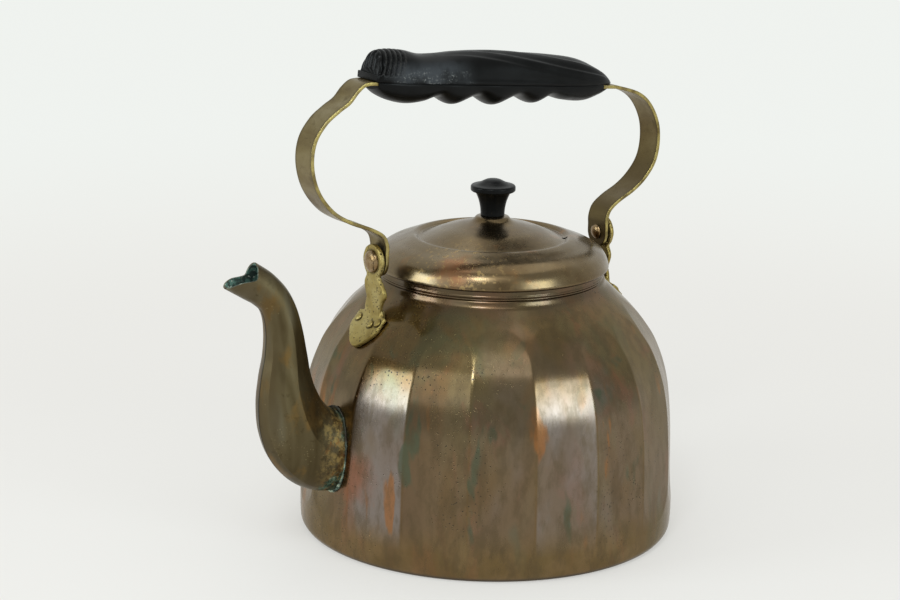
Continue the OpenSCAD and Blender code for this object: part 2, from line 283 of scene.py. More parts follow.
# ------------------------------------------------------------------ materials
class Mat:
    """Short names for the nodes of one procedural material."""

    def __init__(self, name):
        self.m = bpy.data.materials.new(name)
        self.m.use_nodes = True
        self.t = self.m.node_tree
        self.t.nodes.clear()
        self.out = self.t.nodes.new("ShaderNodeOutputMaterial")
        self.bsdf = self.t.nodes.new("ShaderNodeBsdfPrincipled")
        self.t.links.new(self.bsdf.outputs[0], self.out.inputs[0])
        self.co = self.t.nodes.new("ShaderNodeTexCoord").outputs["Object"]
        self._xyz = None

    def link(self, a, b):
        self.t.links.new(a, b)

    def put(self, sock, v):
        if isinstance(v, bpy.types.NodeSocket):
            self.link(v, sock)
        elif hasattr(v, "__len__") and len(v) == 3 and len(sock.default_value) == 4:
            sock.default_value = (*v, 1)
        else:
            sock.default_value = v

    def set(self, **k):
        for a, b in k.items():
            self.put(self.bsdf.inputs[a.replace("_", " ")], b)

    def xyz(self):
        if self._xyz is None:
            n = self.t.nodes.new("ShaderNodeSeparateXYZ")
            self.link(self.co, n.inputs[0])
            self._xyz = n.outputs
        return self._xyz

    def map(self, scale=(1, 1, 1), rot=(0, 0, 0), loc=(0, 0, 0), src=None):
        n = self.t.nodes.new("ShaderNodeMapping")
        self.link(src or self.co, n.inputs[0])
        n.inputs["Scale"].default_value = scale
        n.inputs["Rotation"].default_value = rot
        n.inputs["Location"].default_value = loc
        return n.outputs[0]

    def noise(self, scale, detail=3, rough=0.55, vec=None, distort=0.0):
        n = self.t.nodes.new("ShaderNodeTexNoise")
        self.link(vec or self.co, n.inputs["Vector"])
        n.inputs["Scale"].default_value = scale
        n.inputs["Detail"].default_value = detail
        n.inputs["Roughness"].default_value = rough
        n.inputs["Distortion"].default_value = distort
        return n.outputs["Fac"]

    def voronoi(self, scale, vec=None, feature="F1", rand=1.0):
        n = self.t.nodes.new("ShaderNodeTexVoronoi")
        n.feature = feature
        self.link(vec or self.co, n.inputs["Vector"])
        n.inputs["Scale"].default_value = scale
        n.inputs["Randomness"].default_value = rand
        return n.outputs["Distance"]

    def attr(self, name):
        n = self.t.nodes.new("ShaderNodeAttribute")
        n.attribute_name = name
        return n.outputs["Fac"]

    def range(self, v, a, b, c=0.0, d=1.0, smooth=True):
        n = self.t.nodes.new("ShaderNodeMapRange")
        n.interpolation_type = "SMOOTHSTEP" if smooth else "LINEAR"
        self.put(n.inputs["Value"], v)
        n.inputs["From Min"].default_value = a
        n.inputs["From Max"].default_value = b
        n.inputs["To Min"].default_value = c
        n.inputs["To Max"].default_value = d
        return n.outputs[0]

    def math(self, op, a, b=0.0, clamp=False):
        n = self.t.nodes.new("ShaderNodeMath")
        n.operation = op
        n.use_clamp = clamp
        self.put(n.inputs[0], a)
        self.put(n.inputs[1], b)
        return n.outputs[0]

    def mix(self, f, a, b, blend="MIX"):
        n = self.t.nodes.new("ShaderNodeMix")
        n.data_type = "RGBA"
        n.blend_type = blend
        self.put(n.inputs[0], f)
        self.put(n.inputs[6], a)
        self.put(n.inputs[7], b)
        return n.outputs[2]

    def ramp(self, f, stops):
        n = self.t.nodes.new("ShaderNodeValToRGB")
        self.link(f, n.inputs[0])
        e = n.color_ramp.elements
        while len(e) < len(stops):
            e.new(0.5)
        for s, (p, c) in zip(e, stops):
            s.position = p
            s.color = (*c, 1)
        return n.outputs[0]

    def bump(self, height, strength=0.2, distance=0.001, normal=None):
        n = self.t.nodes.new("ShaderNodeBump")
        n.inputs["Strength"].default_value = strength
        n.inputs["Distance"].default_value = distance
        self.link(height, n.inputs["Height"])
        if normal is not None:
            self.link(normal, n.inputs["Normal"])
        return n.outputs[0]


def pits(m, scale, size, cluster_scale, cluster_from, cluster_to, vec=None):
    """1 inside small scattered pits that gather in clusters."""
    spot = m.range(m.voronoi(scale, vec), size * 0.55, size, 1, 0)
    group = m.range(m.noise(cluster_scale, 2), cluster_from, cluster_to)
    return m.math("MULTIPLY", spot, group)


def copper_body():
    m = Mat("body_copper")
    x, y, z = m.xyz()
    streak = m.map((1, 1, 0.28))
    big = m.noise(17, 4, 0.6, streak, 0.8)
    mid = m.noise(42, 4, 0.65, streak, 0.6)
    fine = m.noise(160, 4, 0.65, m.map((1, 1, 0.40)))
    col = m.ramp(big, [(0.30, (0.118, 0.066, 0.022)), (0.45, (0.150, 0.092, 0.034)), (0.56, (0.158, 0.112, 0.046)), (0.70, (0.128, 0.098, 0.040))])
    red = m.range(mid, 0.52, 0.66, 0, 0.75)
    col = m.mix(red, col, (0.205, 0.088, 0.040))
    grn = m.range(m.noise(30, 3, 0.6, m.map((1, 1, 0.30), loc=(3.1, 1.7, 0.4)), 0.5), 0.55, 0.66, 0, 0.8)
    col = m.mix(grn, col, (0.078, 0.092, 0.046))
    gray = m.range(m.noise(24, 3, 0.55, m.map((1, 1, 0.4), loc=(7.3, 2.2, 5.4)), 0.3), 0.54, 0.68, 0, 0.5)
    col = m.mix(gray, col, (0.165, 0.128, 0.098))
    # lilac-grey patina on some panels, partly painted highlight: strongest on the two panels that catch the side
    # softboxes, so their highlights come out whiter
    lilac_and_highlight_grey = m.math("MULTIPLY", m.attr("panel"), m.range(m.noise(38, 3, 0.55, m.map((1, 1, 0.5), loc=(5.5, 0.3, 8.8)), 0.4), 0.34, 0.58, 0.45, 1))
    col = m.mix(lilac_and_highlight_grey, col, (0.215, 0.180, 0.158))
    orange = m.range(m.noise(70, 3, 0.5, m.map((1, 1, 0.22), loc=(1.3, 9.2, 3.3)), 0.2), 0.635, 0.70, 0, 0.8)
    orange = m.math("MULTIPLY", orange, m.range(z, 0.094, 0.076, 0.25, 1))
    col = m.mix(orange, col, (0.300, 0.122, 0.032))
    ring = m.t.nodes.new("ShaderNodeVectorMath")
    ring.operation = "DISTANCE"
    m.link(m.co, ring.inputs[0])
    ring.inputs[1].default_value = (-0.0965, -0.0165, 0.046)
    flush = m.range(m.math("ADD", ring.outputs["Value"], m.math("MULTIPLY", m.noise(60, 3, 0.6), 0.022)), 0.016, 0.031, 0.62, 0)
    col = m.mix(flush, col, (0.27, 0.088, 0.036))
    teal = m.range(m.noise(64, 3, 0.55, m.map((1, 1, 0.30), loc=(8.1, 4.2, 2.3)), 0.3), 0.63, 0.70, 0, 0.7)
    col = m.mix(teal, col, (0.060, 0.090, 0.052))
    # painted shade: darker where the shoulder meets the neck under the lid's rim, with a bluer tint there; browner at
    # the foot
    neck_tint_and_shade = m.range(m.math("ADD", z, m.math("MULTIPLY", m.noise(20, 2), 0.016)), 0.133, 0.1455, 0, 0.92)
    col = m.mix(neck_tint_and_shade, col, m.mix(m.range(m.noise(34, 2), 0.42, 0.60), (0.042, 0.028, 0.023), (0.044, 0.042, 0.056)))
    foot = m.range(z, 0.030, 0.010, 0, 0.6)
    col = m.mix(foot, col, m.mix(m.range(m.noise(50, 3, 0.6), 0.40, 0.62), (0.150, 0.098, 0.032), (0.215, 0.140, 0.058)))
    # browner where the panels run out under the shoulder
    crown = m.range(z, 0.092, 0.116, 0, 0.45)
    col = m.mix(crown, col, m.mix(m.range(m.noise(40, 3, 0.6, m.map((1, 1, 0.5))), 0.42, 0.60), (0.130, 0.094, 0.034), (0.205, 0.110, 0.044)))
    # painted shade: a dark band along the bottom edge where the body meets the floor
    base_edge_shade = m.range(z, 0.0032, 0.0008, 0, 0.9)
    col = m.mix(base_edge_shade, col, (0.03, 0.027, 0.027))
    col = m.mix(m.range(fine, 0.40, 0.66, 0, 0.5), col, (0.085, 0.058, 0.024))
    p = m.math("MAXIMUM", pits(m, 520, 0.24, 24, 0.55, 0.66), m.math("MULTIPLY", pits(m, 210, 0.12, 14, 0.50, 0.66), 0.8))
    col = m.mix(m.math("MULTIPLY", p, 0.75), col, (0.030, 0.022, 0.012))
    m.set(Base_Color=col, Metallic=1.0)
    m.bsdf.inputs["Specular Tint"].default_value = (0.62, 0.56, 0.48, 1)
    m.bsdf.inputs["Coat Weight"].default_value = 0.40
    m.bsdf.inputs["Coat Roughness"].default_value = 0.14
    r = m.range(m.noise(36, 4, 0.6, streak), 0.3, 0.75, 0.17, 0.30)
    r = m.math("ADD", r, m.math("MULTIPLY", m.range(fine, 0.3, 0.8), 0.07))
    r = m.math("ADD", r, m.math("MULTIPLY", p, 0.4), True)
    m.set(Roughness=r)
    dents = m.noise(32, 1.5, 0.4)
    b = m.bump(dents, 0.12, 0.0014)
    b = m.bump(fine, 0.10, 0.00022, b)
    b = m.bump(m.math("SUBTRACT", 1.0, p), 0.5, 0.0003, b)
    m.set(Normal=b)
    return m.m


def copper_lid():
    m = Mat("lid_copper")
    x, y, z = m.xyz()
    big = m.noise(26, 3, 0.55, None, 0.5)
    fine = m.noise(220, 4, 0.6)
    col = m.ramp(big, [(0.32, (0.136, 0.090, 0.044)), (0.5, (0.170, 0.122, 0.064)), (0.66, (0.196, 0.150, 0.090))])
    warm = m.range(m.noise(60, 3, 0.6, m.map(loc=(2.2, 0.3, 1.1))), 0.60, 0.72, 0, 0.5)
    col = m.mix(warm, col, (0.270, 0.135, 0.050))
    # one worn, reddish patch on the rim
    n = m.t.nodes.new("ShaderNodeVectorMath")
    n.operation = "DISTANCE"
    m.link(m.co, n.inputs[0])
    n.inputs[1].default_value = (-0.0460, -0.0335, 0.1515)
    patch = m.range(m.math("ADD", n.outputs["Value"], m.math("MULTIPLY", m.noise(160, 3), 0.016)), 0.008, 0.023, 0.60, 0)
    col = m.mix(patch, col, (0.330, 0.120, 0.040))
    speck = m.math("MULTIPLY", m.range(m.noise(420, 2), 0.56, 0.66), m.range(n.outputs["Value"], 0.012, 0.034, 0.8, 0.12))
    col = m.mix(speck, col, (0.360, 0.250, 0.110))
    # painted shade: the lid's lower edge is darkened where it tucks in over the neck
    under = m.range(z, 0.1432, 0.1420, 0, 0.85)
    col = m.mix(under, col, (0.04, 0.024, 0.016))
    p = pits(m, 420, 0.22, 40, 0.52, 0.62)
    col = m.mix(m.math("MULTIPLY", p, 0.7), col, (0.08, 0.05, 0.03))
    m.set(Base_Color=col, Metallic=1.0)
    r = m.range(m.noise(70, 4, 0.6), 0.3, 0.75, 0.22, 0.34)
    m.set(Roughness=m.math("ADD", r, m.math("MULTIPLY", speck, 0.12)))
    b = m.bump(m.noise(40, 1.5, 0.4), 0.08, 0.001)
    b = m.bump(fine, 0.14, 0.0002, b)
    m.set(Normal=b)
    return m.m


def spout_brass():
    m = Mat("spout_brass")
    x, y, z = m.xyz()
    streak = m.map((1, 1, 0.35))
    big = m.noise(34, 3, 0.55, streak, 0.5)
    col = m.ramp(big, [(0.34, (0.080, 0.060, 0.028)), (0.46, (0.126, 0.100, 0.052)), (0.56, (0.145, 0.124, 0.074)), (0.68, (0.170, 0.150, 0.100))])
    warm = m.range(m.noise(60, 4, 0.6, m.map((1, 1, 0.5), loc=(4, 2, 1))), 0.50, 0.62, 0, 0.85)
    col = m.mix(warm, col, (0.158, 0.098, 0.034))
    dull = m.range(m.noise(26, 3, 0.6, m.map((1, 1, 0.4), loc=(6, 9, 2)), 0.6), 0.50, 0.66, 0, 0.6)
    col = m.mix(dull, col, (0.090, 0.064, 0.032))
    fine = m.noise(230, 4, 0.65)
    # crusty, warmer brass beside the joint with the body
    joint = m.range(m.math("ADD", x, m.math("MULTIPLY", m.noise(90, 3), 0.014)), -0.1080, -0.0930, 0, 1)
    joint = m.math("MULTIPLY", joint, m.range(z, 0.086, 0.074, 0, 1))
    crust = m.math("MULTIPLY", joint, m.range(m.noise(260, 4, 0.75), 0.46, 0.60))
    col = m.mix(m.math("MULTIPLY", crust, 0.8), col, (0.42, 0.30, 0.11))
    rust = m.math("MULTIPLY", joint, m.range(m.noise(180, 3, 0.7, m.map(loc=(2, 2, 7))), 0.56, 0.66))
    col = m.mix(m.math("MULTIPLY", rust, 0.7), col, (0.30, 0.13, 0.04))
    under = m.math("MULTIPLY", m.range(z, 0.0500, 0.0400, 0, 1), 0.011)
    green = m.range(m.math("ADD", m.math("ADD", x, under), m.math("MULTIPLY", m.noise(140, 3), 0.010)), -0.0950, -0.0905, 0, 0.95)
    col = m.mix(m.math("MULTIPLY", green, m.range(m.noise(300, 4, 0.7), 0.38, 0.50)), col, m.ramp(m.noise(420, 4, 0.75), [(0.38, (0.02, 0.03, 0.02)), (0.50, (0.085, 0.15, 0.105)), (0.60, (0.17, 0.26, 0.19)), (0.68, (0.55, 0.60, 0.42))]))
    seam = m.range(m.math("ABSOLUTE", y), 0.0009, 0.0003, 0, 0.85)
    col = m.mix(seam, col, (0.035, 0.030, 0.020))
    inside = m.attr("inside")
    verd = m.mix(m.range(m.noise(320, 3), 0.45, 0.6), (0.030, 0.055, 0.045), (0.10, 0.20, 0.16))
    verd = m.mix(m.range(m.noise(500, 2), 0.62, 0.68), verd, (0.45, 0.50, 0.42))
    col = m.mix(inside, col, verd)
    p = pits(m, 620, 0.24, 60, 0.54, 0.64)
    col = m.mix(m.math("MULTIPLY", p, 0.35), col, (0.36, 0.29, 0.15))
    blot = m.math("MULTIPLY", m.range(m.noise(190, 4, 0.7), 0.56, 0.66), m.range(m.noise(40, 2), 0.46, 0.6, 0, 0.5))
    col = m.mix(blot, col, (0.055, 0.040, 0.018))
    m.set(Base_Color=col)
    m.set(Metallic=m.math("SUBTRACT", 1.0, m.math("MULTIPLY", inside, 0.85), True))
    r = m.range(m.noise(80, 4, 0.6, streak), 0.3, 0.75, 0.36, 0.52)
    r = m.math("ADD", r, m.math("MULTIPLY", crust, 0.2))
    r = m.math("ADD", r, m.math("MULTIPLY", inside, 0.35), True)
    m.set(Roughness=r)
    b = m.bump(m.noise(70, 2), 0.12, 0.0008)
    b = m.bump(fine, 0.16, 0.0002, b)
    b = m.bump(m.math("MULTIPLY", m.noise(420, 3), joint), 0.5, 0.0005, b)
    m.set(Normal=b)
    return m.m


def solder():
    m = Mat("solder_verdigris")
    x, y, z = m.xyz()
    a = m.noise(260, 4, 0.65)
    col = m.ramp(a, [(0.36, (0.020, 0.022, 0.016)), (0.48, (0.055, 0.085, 0.062)), (0.58, (0.14, 0.23, 0.18)), (0.68, (0.50, 0.58, 0.44))])
    pale = m.range(z, 0.050, 0.036, 0, 0.5)
    col = m.mix(m.math("MULTIPLY", pale, m.range(m.noise(380, 3), 0.48, 0.58)), col, (0.55, 0.62, 0.46))
    col = m.mix(m.math("MULTIPLY", m.range(z, 0.046, 0.060, 0, 0.92), m.range(m.noise(150, 3), 0.60, 0.48, 0.6, 1)), col, (0.035, 0.028, 0.018))
    m.set(Base_Color=col, Metallic=0.1, Roughness=0.85)
    m.set(Normal=m.bump(m.noise(600, 4, 0.7), 0.7, 0.0006))
    return m.m


def ear_brass():
    m = Mat("ear_brass")
    big = m.noise(60, 3, 0.55)
    col = m.ramp(big, [(0.36, (0.242, 0.175, 0.051)), (0.5, (0.348, 0.269, 0.091)), (0.64, (0.424, 0.345, 0.144))])
    fine = m.noise(420, 4, 0.7)
    p = m.math("MAXIMUM", pits(m, 720, 0.30, 120, 0.46, 0.58), pits(m, 340, 0.20, 80, 0.45, 0.58))
    col = m.mix(m.math("MULTIPLY", p, 0.9), col, (0.045, 0.035, 0.015))
    # painted shade: 'rim' darkens the crevices round the rivet and pivot heads
    rim = m.attr("rim")
    col = m.mix(m.math("MULTIPLY", rim, 0.85), col, (0.05, 0.035, 0.015))
    m.set(Base_Color=col, Metallic=1.0)
    m.set(Roughness=m.range(fine, 0.3, 0.7, 0.40, 0.58))
    b = m.bump(fine, 0.30, 0.0003)
    b = m.bump(m.math("SUBTRACT", 1.0, p), 0.9, 0.0005, b)
    m.set(Normal=b)
    return m.m


def rivet_copper():
    m = Mat("rivet_copper")
    col = m.ramp(m.noise(300, 3, 0.6), [(0.38, (0.20, 0.125, 0.055)), (0.55, (0.28, 0.190, 0.096)), (0.7, (0.34, 0.25, 0.15))])
    m.set(Base_Color=col, Metallic=1.0)
    m.set(Roughness=m.range(m.noise(500, 3), 0.3, 0.7, 0.22, 0.42))
    m.set(Normal=m.bump(m.noise(300, 2, 0.5), 0.05, 0.0002))
    return m.m


def strap_brass():
    m = Mat("strap_brass")
    x, y, z = m.xyz()
    big = m.noise(45, 4, 0.6, m.map((1, 0.5, 1)), 0.4)
    col = m.ramp(big, [(0.34, (0.125, 0.085, 0.032)), (0.50, (0.190, 0.145, 0.062)), (0.64, (0.245, 0.198, 0.100))])
    dark = m.range(m.noise(90, 4, 0.65, m.map(loc=(3, 8, 2))), 0.58, 0.70, 0, 0.6)
    col = m.mix(dark, col, (0.095, 0.066, 0.020))
    low = m.math("MULTIPLY", m.range(x, 0.02, 0.06, 0, 0.75), m.range(z, 0.225, 0.185, 0.15, 1))
    col = m.mix(low, col, (0.095, 0.066, 0.026))
    spots = pits(m, 520, 0.25, 70, 0.5, 0.6)
    col = m.mix(m.math("MULTIPLY", spots, 0.7), col, (0.06, 0.045, 0.02))
    # painted highlight: the rounded edges are painted lighter, partly as worn brass and partly as the bright
    # reflections along them
    edge = m.attr("edge")
    worn = m.math("MULTIPLY", edge, m.range(m.noise(120, 3, 0.6), 0.36, 0.60, 0.15, 0.85))
    col = m.mix(worn, col, (0.42, 0.34, 0.12))
    # painted shade: a dark band just inside each rounded edge
    line = m.attr("line")
    col = m.mix(m.math("MULTIPLY", line, 0.6), col, (0.06, 0.042, 0.018))
    m.set(Base_Color=col, Metallic=1.0)
    r = m.range(m.noise(120, 4, 0.6), 0.3, 0.75, 0.34, 0.50)
    m.set(Roughness=m.math("SUBTRACT", r, m.math("MULTIPLY", edge, 0.08)))
    b = m.bump(m.noise(60, 2), 0.10, 0.0008)
    b = m.bump(m.noise(330, 4, 0.65), 0.16, 0.0002, b)
    m.set(Normal=b)
    return m.m


def bakelite():
    m = Mat("bakelite")
    x, y, z = m.xyz()
    col = m.mix(m.range(m.noise(50, 4, 0.6), 0.4, 0.7), (0.0016, 0.0018, 0.0017), (0.0036, 0.0040, 0.0040))
    # rubbed, greyish patch along the front of the upper half
    band = m.math("MULTIPLY", m.range(x, -0.074, -0.060, 0, 1), m.range(x, -0.018, -0.042, 0, 1))
    band = m.math("MULTIPLY", m.math("MULTIPLY", band, m.attr("rub")), m.range(y, -0.006, -0.010, 0, 1))
    haze = m.math("MULTIPLY", m.math("MULTIPLY", band, m.range(z, 0.2570, 0.2490, 0.0, 1)), m.range(m.noise(70, 3, 0.6), 0.34, 0.60, 0.2, 1))
    col = m.mix(haze, col, (0.040, 0.045, 0.050))
    low = m.range(z, 0.2525, 0.2470, 0.0, 1)
    scuff = m.math("MULTIPLY", m.math("MULTIPLY", band, low), m.math("MULTIPLY", m.range(m.noise(760, 3, 0.75), 0.53, 0.64), m.range(m.noise(150, 2), 0.40, 0.62)))
    col = m.mix(scuff, col, (0.17, 0.18, 0.175))
    worn = m.attr("worn")
    col = m.mix(m.math("MULTIPLY", worn, m.range(m.noise(500, 3), 0.42, 0.62, 0.15, 0.9)), col, (0.05, 0.05, 0.046))
    m.set(Base_Color=col, Metallic=0.0)
    m.bsdf.inputs["Specular IOR Level"].default_value = 0.13
    r = m.range(m.noise(90, 3), 0.35, 0.7, 0.30, 0.42)
    m.set(Roughness=m.math("ADD", r, m.math("MULTIPLY", haze, 0.22)))
    b = m.bump(m.noise(700, 3), 0.12, 0.00012)
    b = m.bump(m.noise(60, 2), 0.10, 0.0006, b)
    m.set(Normal=b)
    return m.m


def screw_brass():
    m = Mat("screw_brass")
    m.set(Base_Color=m.ramp(m.noise(500, 3), [(0.35, (0.22, 0.165, 0.06)), (0.6, (0.36, 0.29, 0.13))]), Metallic=1.0)
    m.set(Roughness=m.range(m.noise(700, 2), 0.3, 0.7, 0.28, 0.42), Normal=m.bump(m.noise(900, 2), 0.15, 0.0002))
    return m.m


mats = {"body": copper_body(), "lid": copper_lid(), "spout": spout_brass(), "solder": solder(), "ear": ear_brass(),
        "rivet": rivet_copper(), "strap": strap_brass(), "bakelite": bakelite(), "screw": screw_brass()}


def dress(o, mat, body, slot, *nodes):
    o.data.materials.clear()
    o.data.materials.append(mats[mat])
    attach(o, body)
    if nodes:
        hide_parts(*nodes)
    return o


# ------------------------------------------------------------------ body
PANEL = math.radians(10)
DEPTH = 0.0142
WALL = 1.2
foot_line = spline([[97.6, 0.9], [99.2, 3.4], [99.8, 8], [100, 13]], 6)
dome_line = spline([[100, 27], [99.6, 46], [98, 68], [95, 85.5], [89.3, 101], [83, 111], [76, 119.4], [68, 127], [62, 132.6]], 14)


def arch(z):
    u, v = clamp01((z - 15.5) / 17), clamp01((124.5 - z) / 15)
    return (1 - (1 - u) ** 2.0) * (1 - (1 - v) ** 2)


def wall_radius(z):
    """Radius of the plain round wall at a height."""
    line = np.concatenate([foot_line, dome_line])
    return np.interp(z, line[:, 1], line[:, 0])


def panel_inset(t, z, which):
    """Share of the radius that the panel lies inside the round wall, t from the panel's middle in radians."""
    jitter = np.array([hashed(np.int64(w), np.int64(3), np.int64(7), 5) for w in range(18)])
    jz = np.array([hashed(np.int64(w), np.int64(11), np.int64(1), 9) for w in range(18)])
    d = DEPTH * (1 + 0.05 * jitter[which])
    a = arch(z + 1.2 * jz[which])
    x = 1 - (1 - d * a * (1 + 0.10 * (1 - (t / PANEL) ** 2))) / np.cos(t)
    soft = 0.00035 + 0.0006 * (1 - smooth(a))
    return 0.5 * (x + np.sqrt(x * x + soft * soft)) - 0.0


def make_body():
    per = 40
    tt = np.linspace(-1, 1, per + 1)[:-1]
    tt = 0.45 * tt + 0.55 * np.sin(tt * math.pi / 2)
    which = np.repeat(np.arange(18), per)
    t = np.tile(tt, 18) * PANEL
    theta = which * 2 * PANEL + t
    low = np.array([[30, 0], [60, 0], [85, 0], [93.6, 0], [95, 0.02], [96.1, 0.18], [96.9, 0.45]])
    straight = np.stack([np.full(27, 100.0), np.linspace(13, 27, 29)[1:-1]], 1)
    neck = round_corner([[62, 132.6], [61.0, 133.7], [60.45, 134.9], [60.05, 136.2], [59.7, 136.75], [58.9, 137.15], [58.9, 137.8], [59.35, 138.3], [59.35, 138.9], [59.0, 139.4], [59.0, 147.4], [58.6, 147.8], [58.0, 147.8]], 0.5, 3)[1:]
    line = np.concatenate([low, foot_line, straight, dome_line, neck])
    n_out = len(line)
    # inner skin, going down again
    back = np.concatenate([[[57.8, 147.4], [57.8, 138]], side(dome_line, -WALL)[::-1][::4], [[98.8, 26], [98.8, 21], [98.8, 13], [98.6, 8], [97.6, 3.6], [95, 1.3], [60, 1.2]]])
    full = np.concatenate([line, back])
    r, z = full[:, 0][:, None], full[:, 1][:, None]
    inset = panel_inset(t[None, :], np.repeat(z, len(t), 1), which[None, :].repeat(len(full), 0))
    zone = ((full[:, 1] > 13) & (full[:, 1] < 128))[:, None]
    # the inner skin follows the outer one
    rr = r * (1 - np.where(zone, inset, 0))
    P = np.stack([rr * np.cos(theta), rr * np.sin(theta), np.repeat(z, len(t), 1)], -1)
    # slow unevenness of hand-worked sheet
    out = P.reshape(-1, 3)
    N = out / np.maximum(np.linalg.norm(out[:, :2], axis=1), 1)[:, None]
    N[:, 2] = 0
    dent = 0.16 * vnoise(out, 26, 3, 2) + 0.05 * vnoise(out, 9, 8)
    keep = smooth((out[:, 2] - 3) / 12) * smooth((134 - out[:, 2]) / 10)
    out = out + N * ((dent - 0.21) * keep)[:, None]
    P = out.reshape(P.shape)
    n, m = P.shape[:2]
    V = np.concatenate([P.reshape(-1, 3), [[0, 0, 0], [0, 0, 1.2]]])
    j = np.arange(m)
    tris = np.concatenate([np.stack([np.full(m, n * m), (j + 1) % m, j], 1),
                           np.stack([np.full(m, n * m + 1), (n - 1) * m + j, (n - 1) * m + (j + 1) % m], 1)])
    o = build("body", V, grid_faces(n, m), tris, 50)
    # hole behind the spout
    hole = turned("hole_cutter", [[0, 0], [12, 0], [12, 24], [0, 24]], 64)
    place(hole, Matrix.Translation((-0.110, 0, 0.0515)) @ Matrix.Rotation(math.pi / 2, 4, "Y"))
    modifier(o, "BOOLEAN", operation="DIFFERENCE", object=hole, solver="EXACT")
    bake_modifiers(o, 50)
    bpy.data.objects.remove(hole)
    co = coords(o.data) / MM
    az = np.degrees(np.arctan2(co[:, 1], co[:, 0])) % 360
    w = np.round(az / 20).astype(int) % 18
    off = np.abs((az - w * 20 + 180) % 360 - 180)
    # per-panel share of the lilac-grey; the two 0.95 entries are painted highlight colour on the panels facing the
    # side softboxes
    panel_tone_and_highlight = np.array([0.5, 0.2, 0.7, 0.3, 0.6, 0.1, 0.5, 0.3, 0.6, 0.2, 0.95, 0.16, 0.22, 0.95, 0.30, 0.45, 0.2, 0.6])
    attribute(o, "panel", panel_tone_and_highlight[w] * smooth((10.2 - off) / 0.9) * arch(co[:, 2] + 2.5) * smooth((104 - co[:, 2]) / 22))
    return dress(o, "body", "kettle", "body_copper", "body_shell")


make_body()

# ------------------------------------------------------------------ spout
spout_knots = [[-86, 55, 22, 14.4], [-103, 56.2, 21.8, 14.6], [-114, 63.5, 21, 14.8],
               [-120.4, 73.5, 19.6, 14.4], [-124, 85.5, 17, 13.2], [-125.4, 97, 14.2, 12],
               [-125.5, 109, 11.8, 10.8], [-126.5, 121.5, 10.1, 9.8], [-128.6, 131.5, 9.2, 9],
               [-132.4, 139.4, 8.8, 8.2], [-138.2, 145.4, 9.1, 7.5], [-144.4, 149.6, 9.4, 7], [-156, 156.8, 9.5, 6.5]]
sp = spline(spout_knots, 12)
sp_t = tangents(sp[:, :2])
sp_n = np.stack([-sp_t[:, 1], sp_t[:, 0]], 1)
# corners of the pressed section, by angle from the side's middle: 90 is the back seam, -90 the front one
CORNERS = np.radians([-90, -61, -26, 5, 57, 90])


def section(a):
    """Unit section at angles a, part round and part flat-sided: across, and along the depth."""
    k = np.clip(np.searchsorted(CORNERS, a, side="right") - 1, 0, len(CORNERS) - 2)
    a0, a1 = CORNERS[k], CORNERS[k + 1]
    u = (a - a0) / (a1 - a0)
    cx = (1 - u) * np.cos(a0) ** 0.9 + u * np.cos(a1) ** 0.9
    cy = (1 - u) * np.sin(a0) + u * np.sin(a1)
    return cx, cy


def spout_rows(d, s, i0=0, i1=None, facet=1.0):
    """Rows across one half of the tube, d inside its surface."""
    i1 = len(sp) if i1 is None else i1
    a = np.radians(np.unique(np.concatenate([np.linspace(-90, 90, 91), [-61, -26, 5, 57]])))
    c = np.clip(np.cos(a), 0, 1)
    px, py = c ** 0.9, np.sin(a)
    fx, fy = section(a)
    q = sp[i0:i1]
    # flatter-sided in the middle of its length, rounder at the mouth and the foot
    g = (0.62 * smooth((q[:, 1] - 52) / 16) * smooth((140 - q[:, 1]) / 22))[:, None] * facet
    ux = px * (1 - g) + fx * g
    uy = py * (1 - g) + fy * g
    w = (q[:, 3, None] - d) * ux
    h = -(q[:, 2, None] - d) * uy
    P = np.stack([q[:, 0, None] + sp_n[i0:i1, 0, None] * h, s * w, q[:, 1, None] + sp_n[i0:i1, 1, None] * h], -1)
    return P, a


def wall_cutter():
    """The body's panel behind the spout, filled inwards."""
    z = np.linspace(22, 118, 60)
    x = -wall_radius(z) * (1 - DEPTH * arch(z)) + 0.35
    poly = np.concatenate([np.stack([x, z], 1), [[-60, 118], [-60, 22]]])
    return poly


def prism(name, poly, half):
    n = len(poly)
    V = np.concatenate([np.stack([poly[:, 0], np.full(n, s * half), poly[:, 1]], 1) for s in (-1, 1)])
    j = np.arange(n)
    quads = np.stack([j, (j + 1) % n, n + (j + 1) % n, n + j], 1)
    me = bpy.data.meshes.new(name)
    faces = quads.tolist() + [list(range(n))[::-1], list(range(n, 2 * n))]
    me.from_pydata((V * MM).tolist(), [], faces)
    import bmesh
    bm = bmesh.new()
    bm.from_mesh(me)
    bmesh.ops.recalc_face_normals(bm, faces=bm.faces)
    bm.to_mesh(me)
    bm.free()
    o = bpy.data.objects.new(name, me)
    bpy.context.scene.collection.objects.link(o)
    return o


mouth_poly = round_corner([[-141.2, 175], [-141.9, 160.8], [-143.6, 156.0], [-144.6, 151.9], [-148.0, 151.5], [-152.5, 151.4], [-156.0, 150.3], [-158.6, 148.9], [-161.5, 146.5], [-175, 140.0]], 1.3, 6)
mouth_poly = np.concatenate([mouth_poly, [[-175, 175]]])


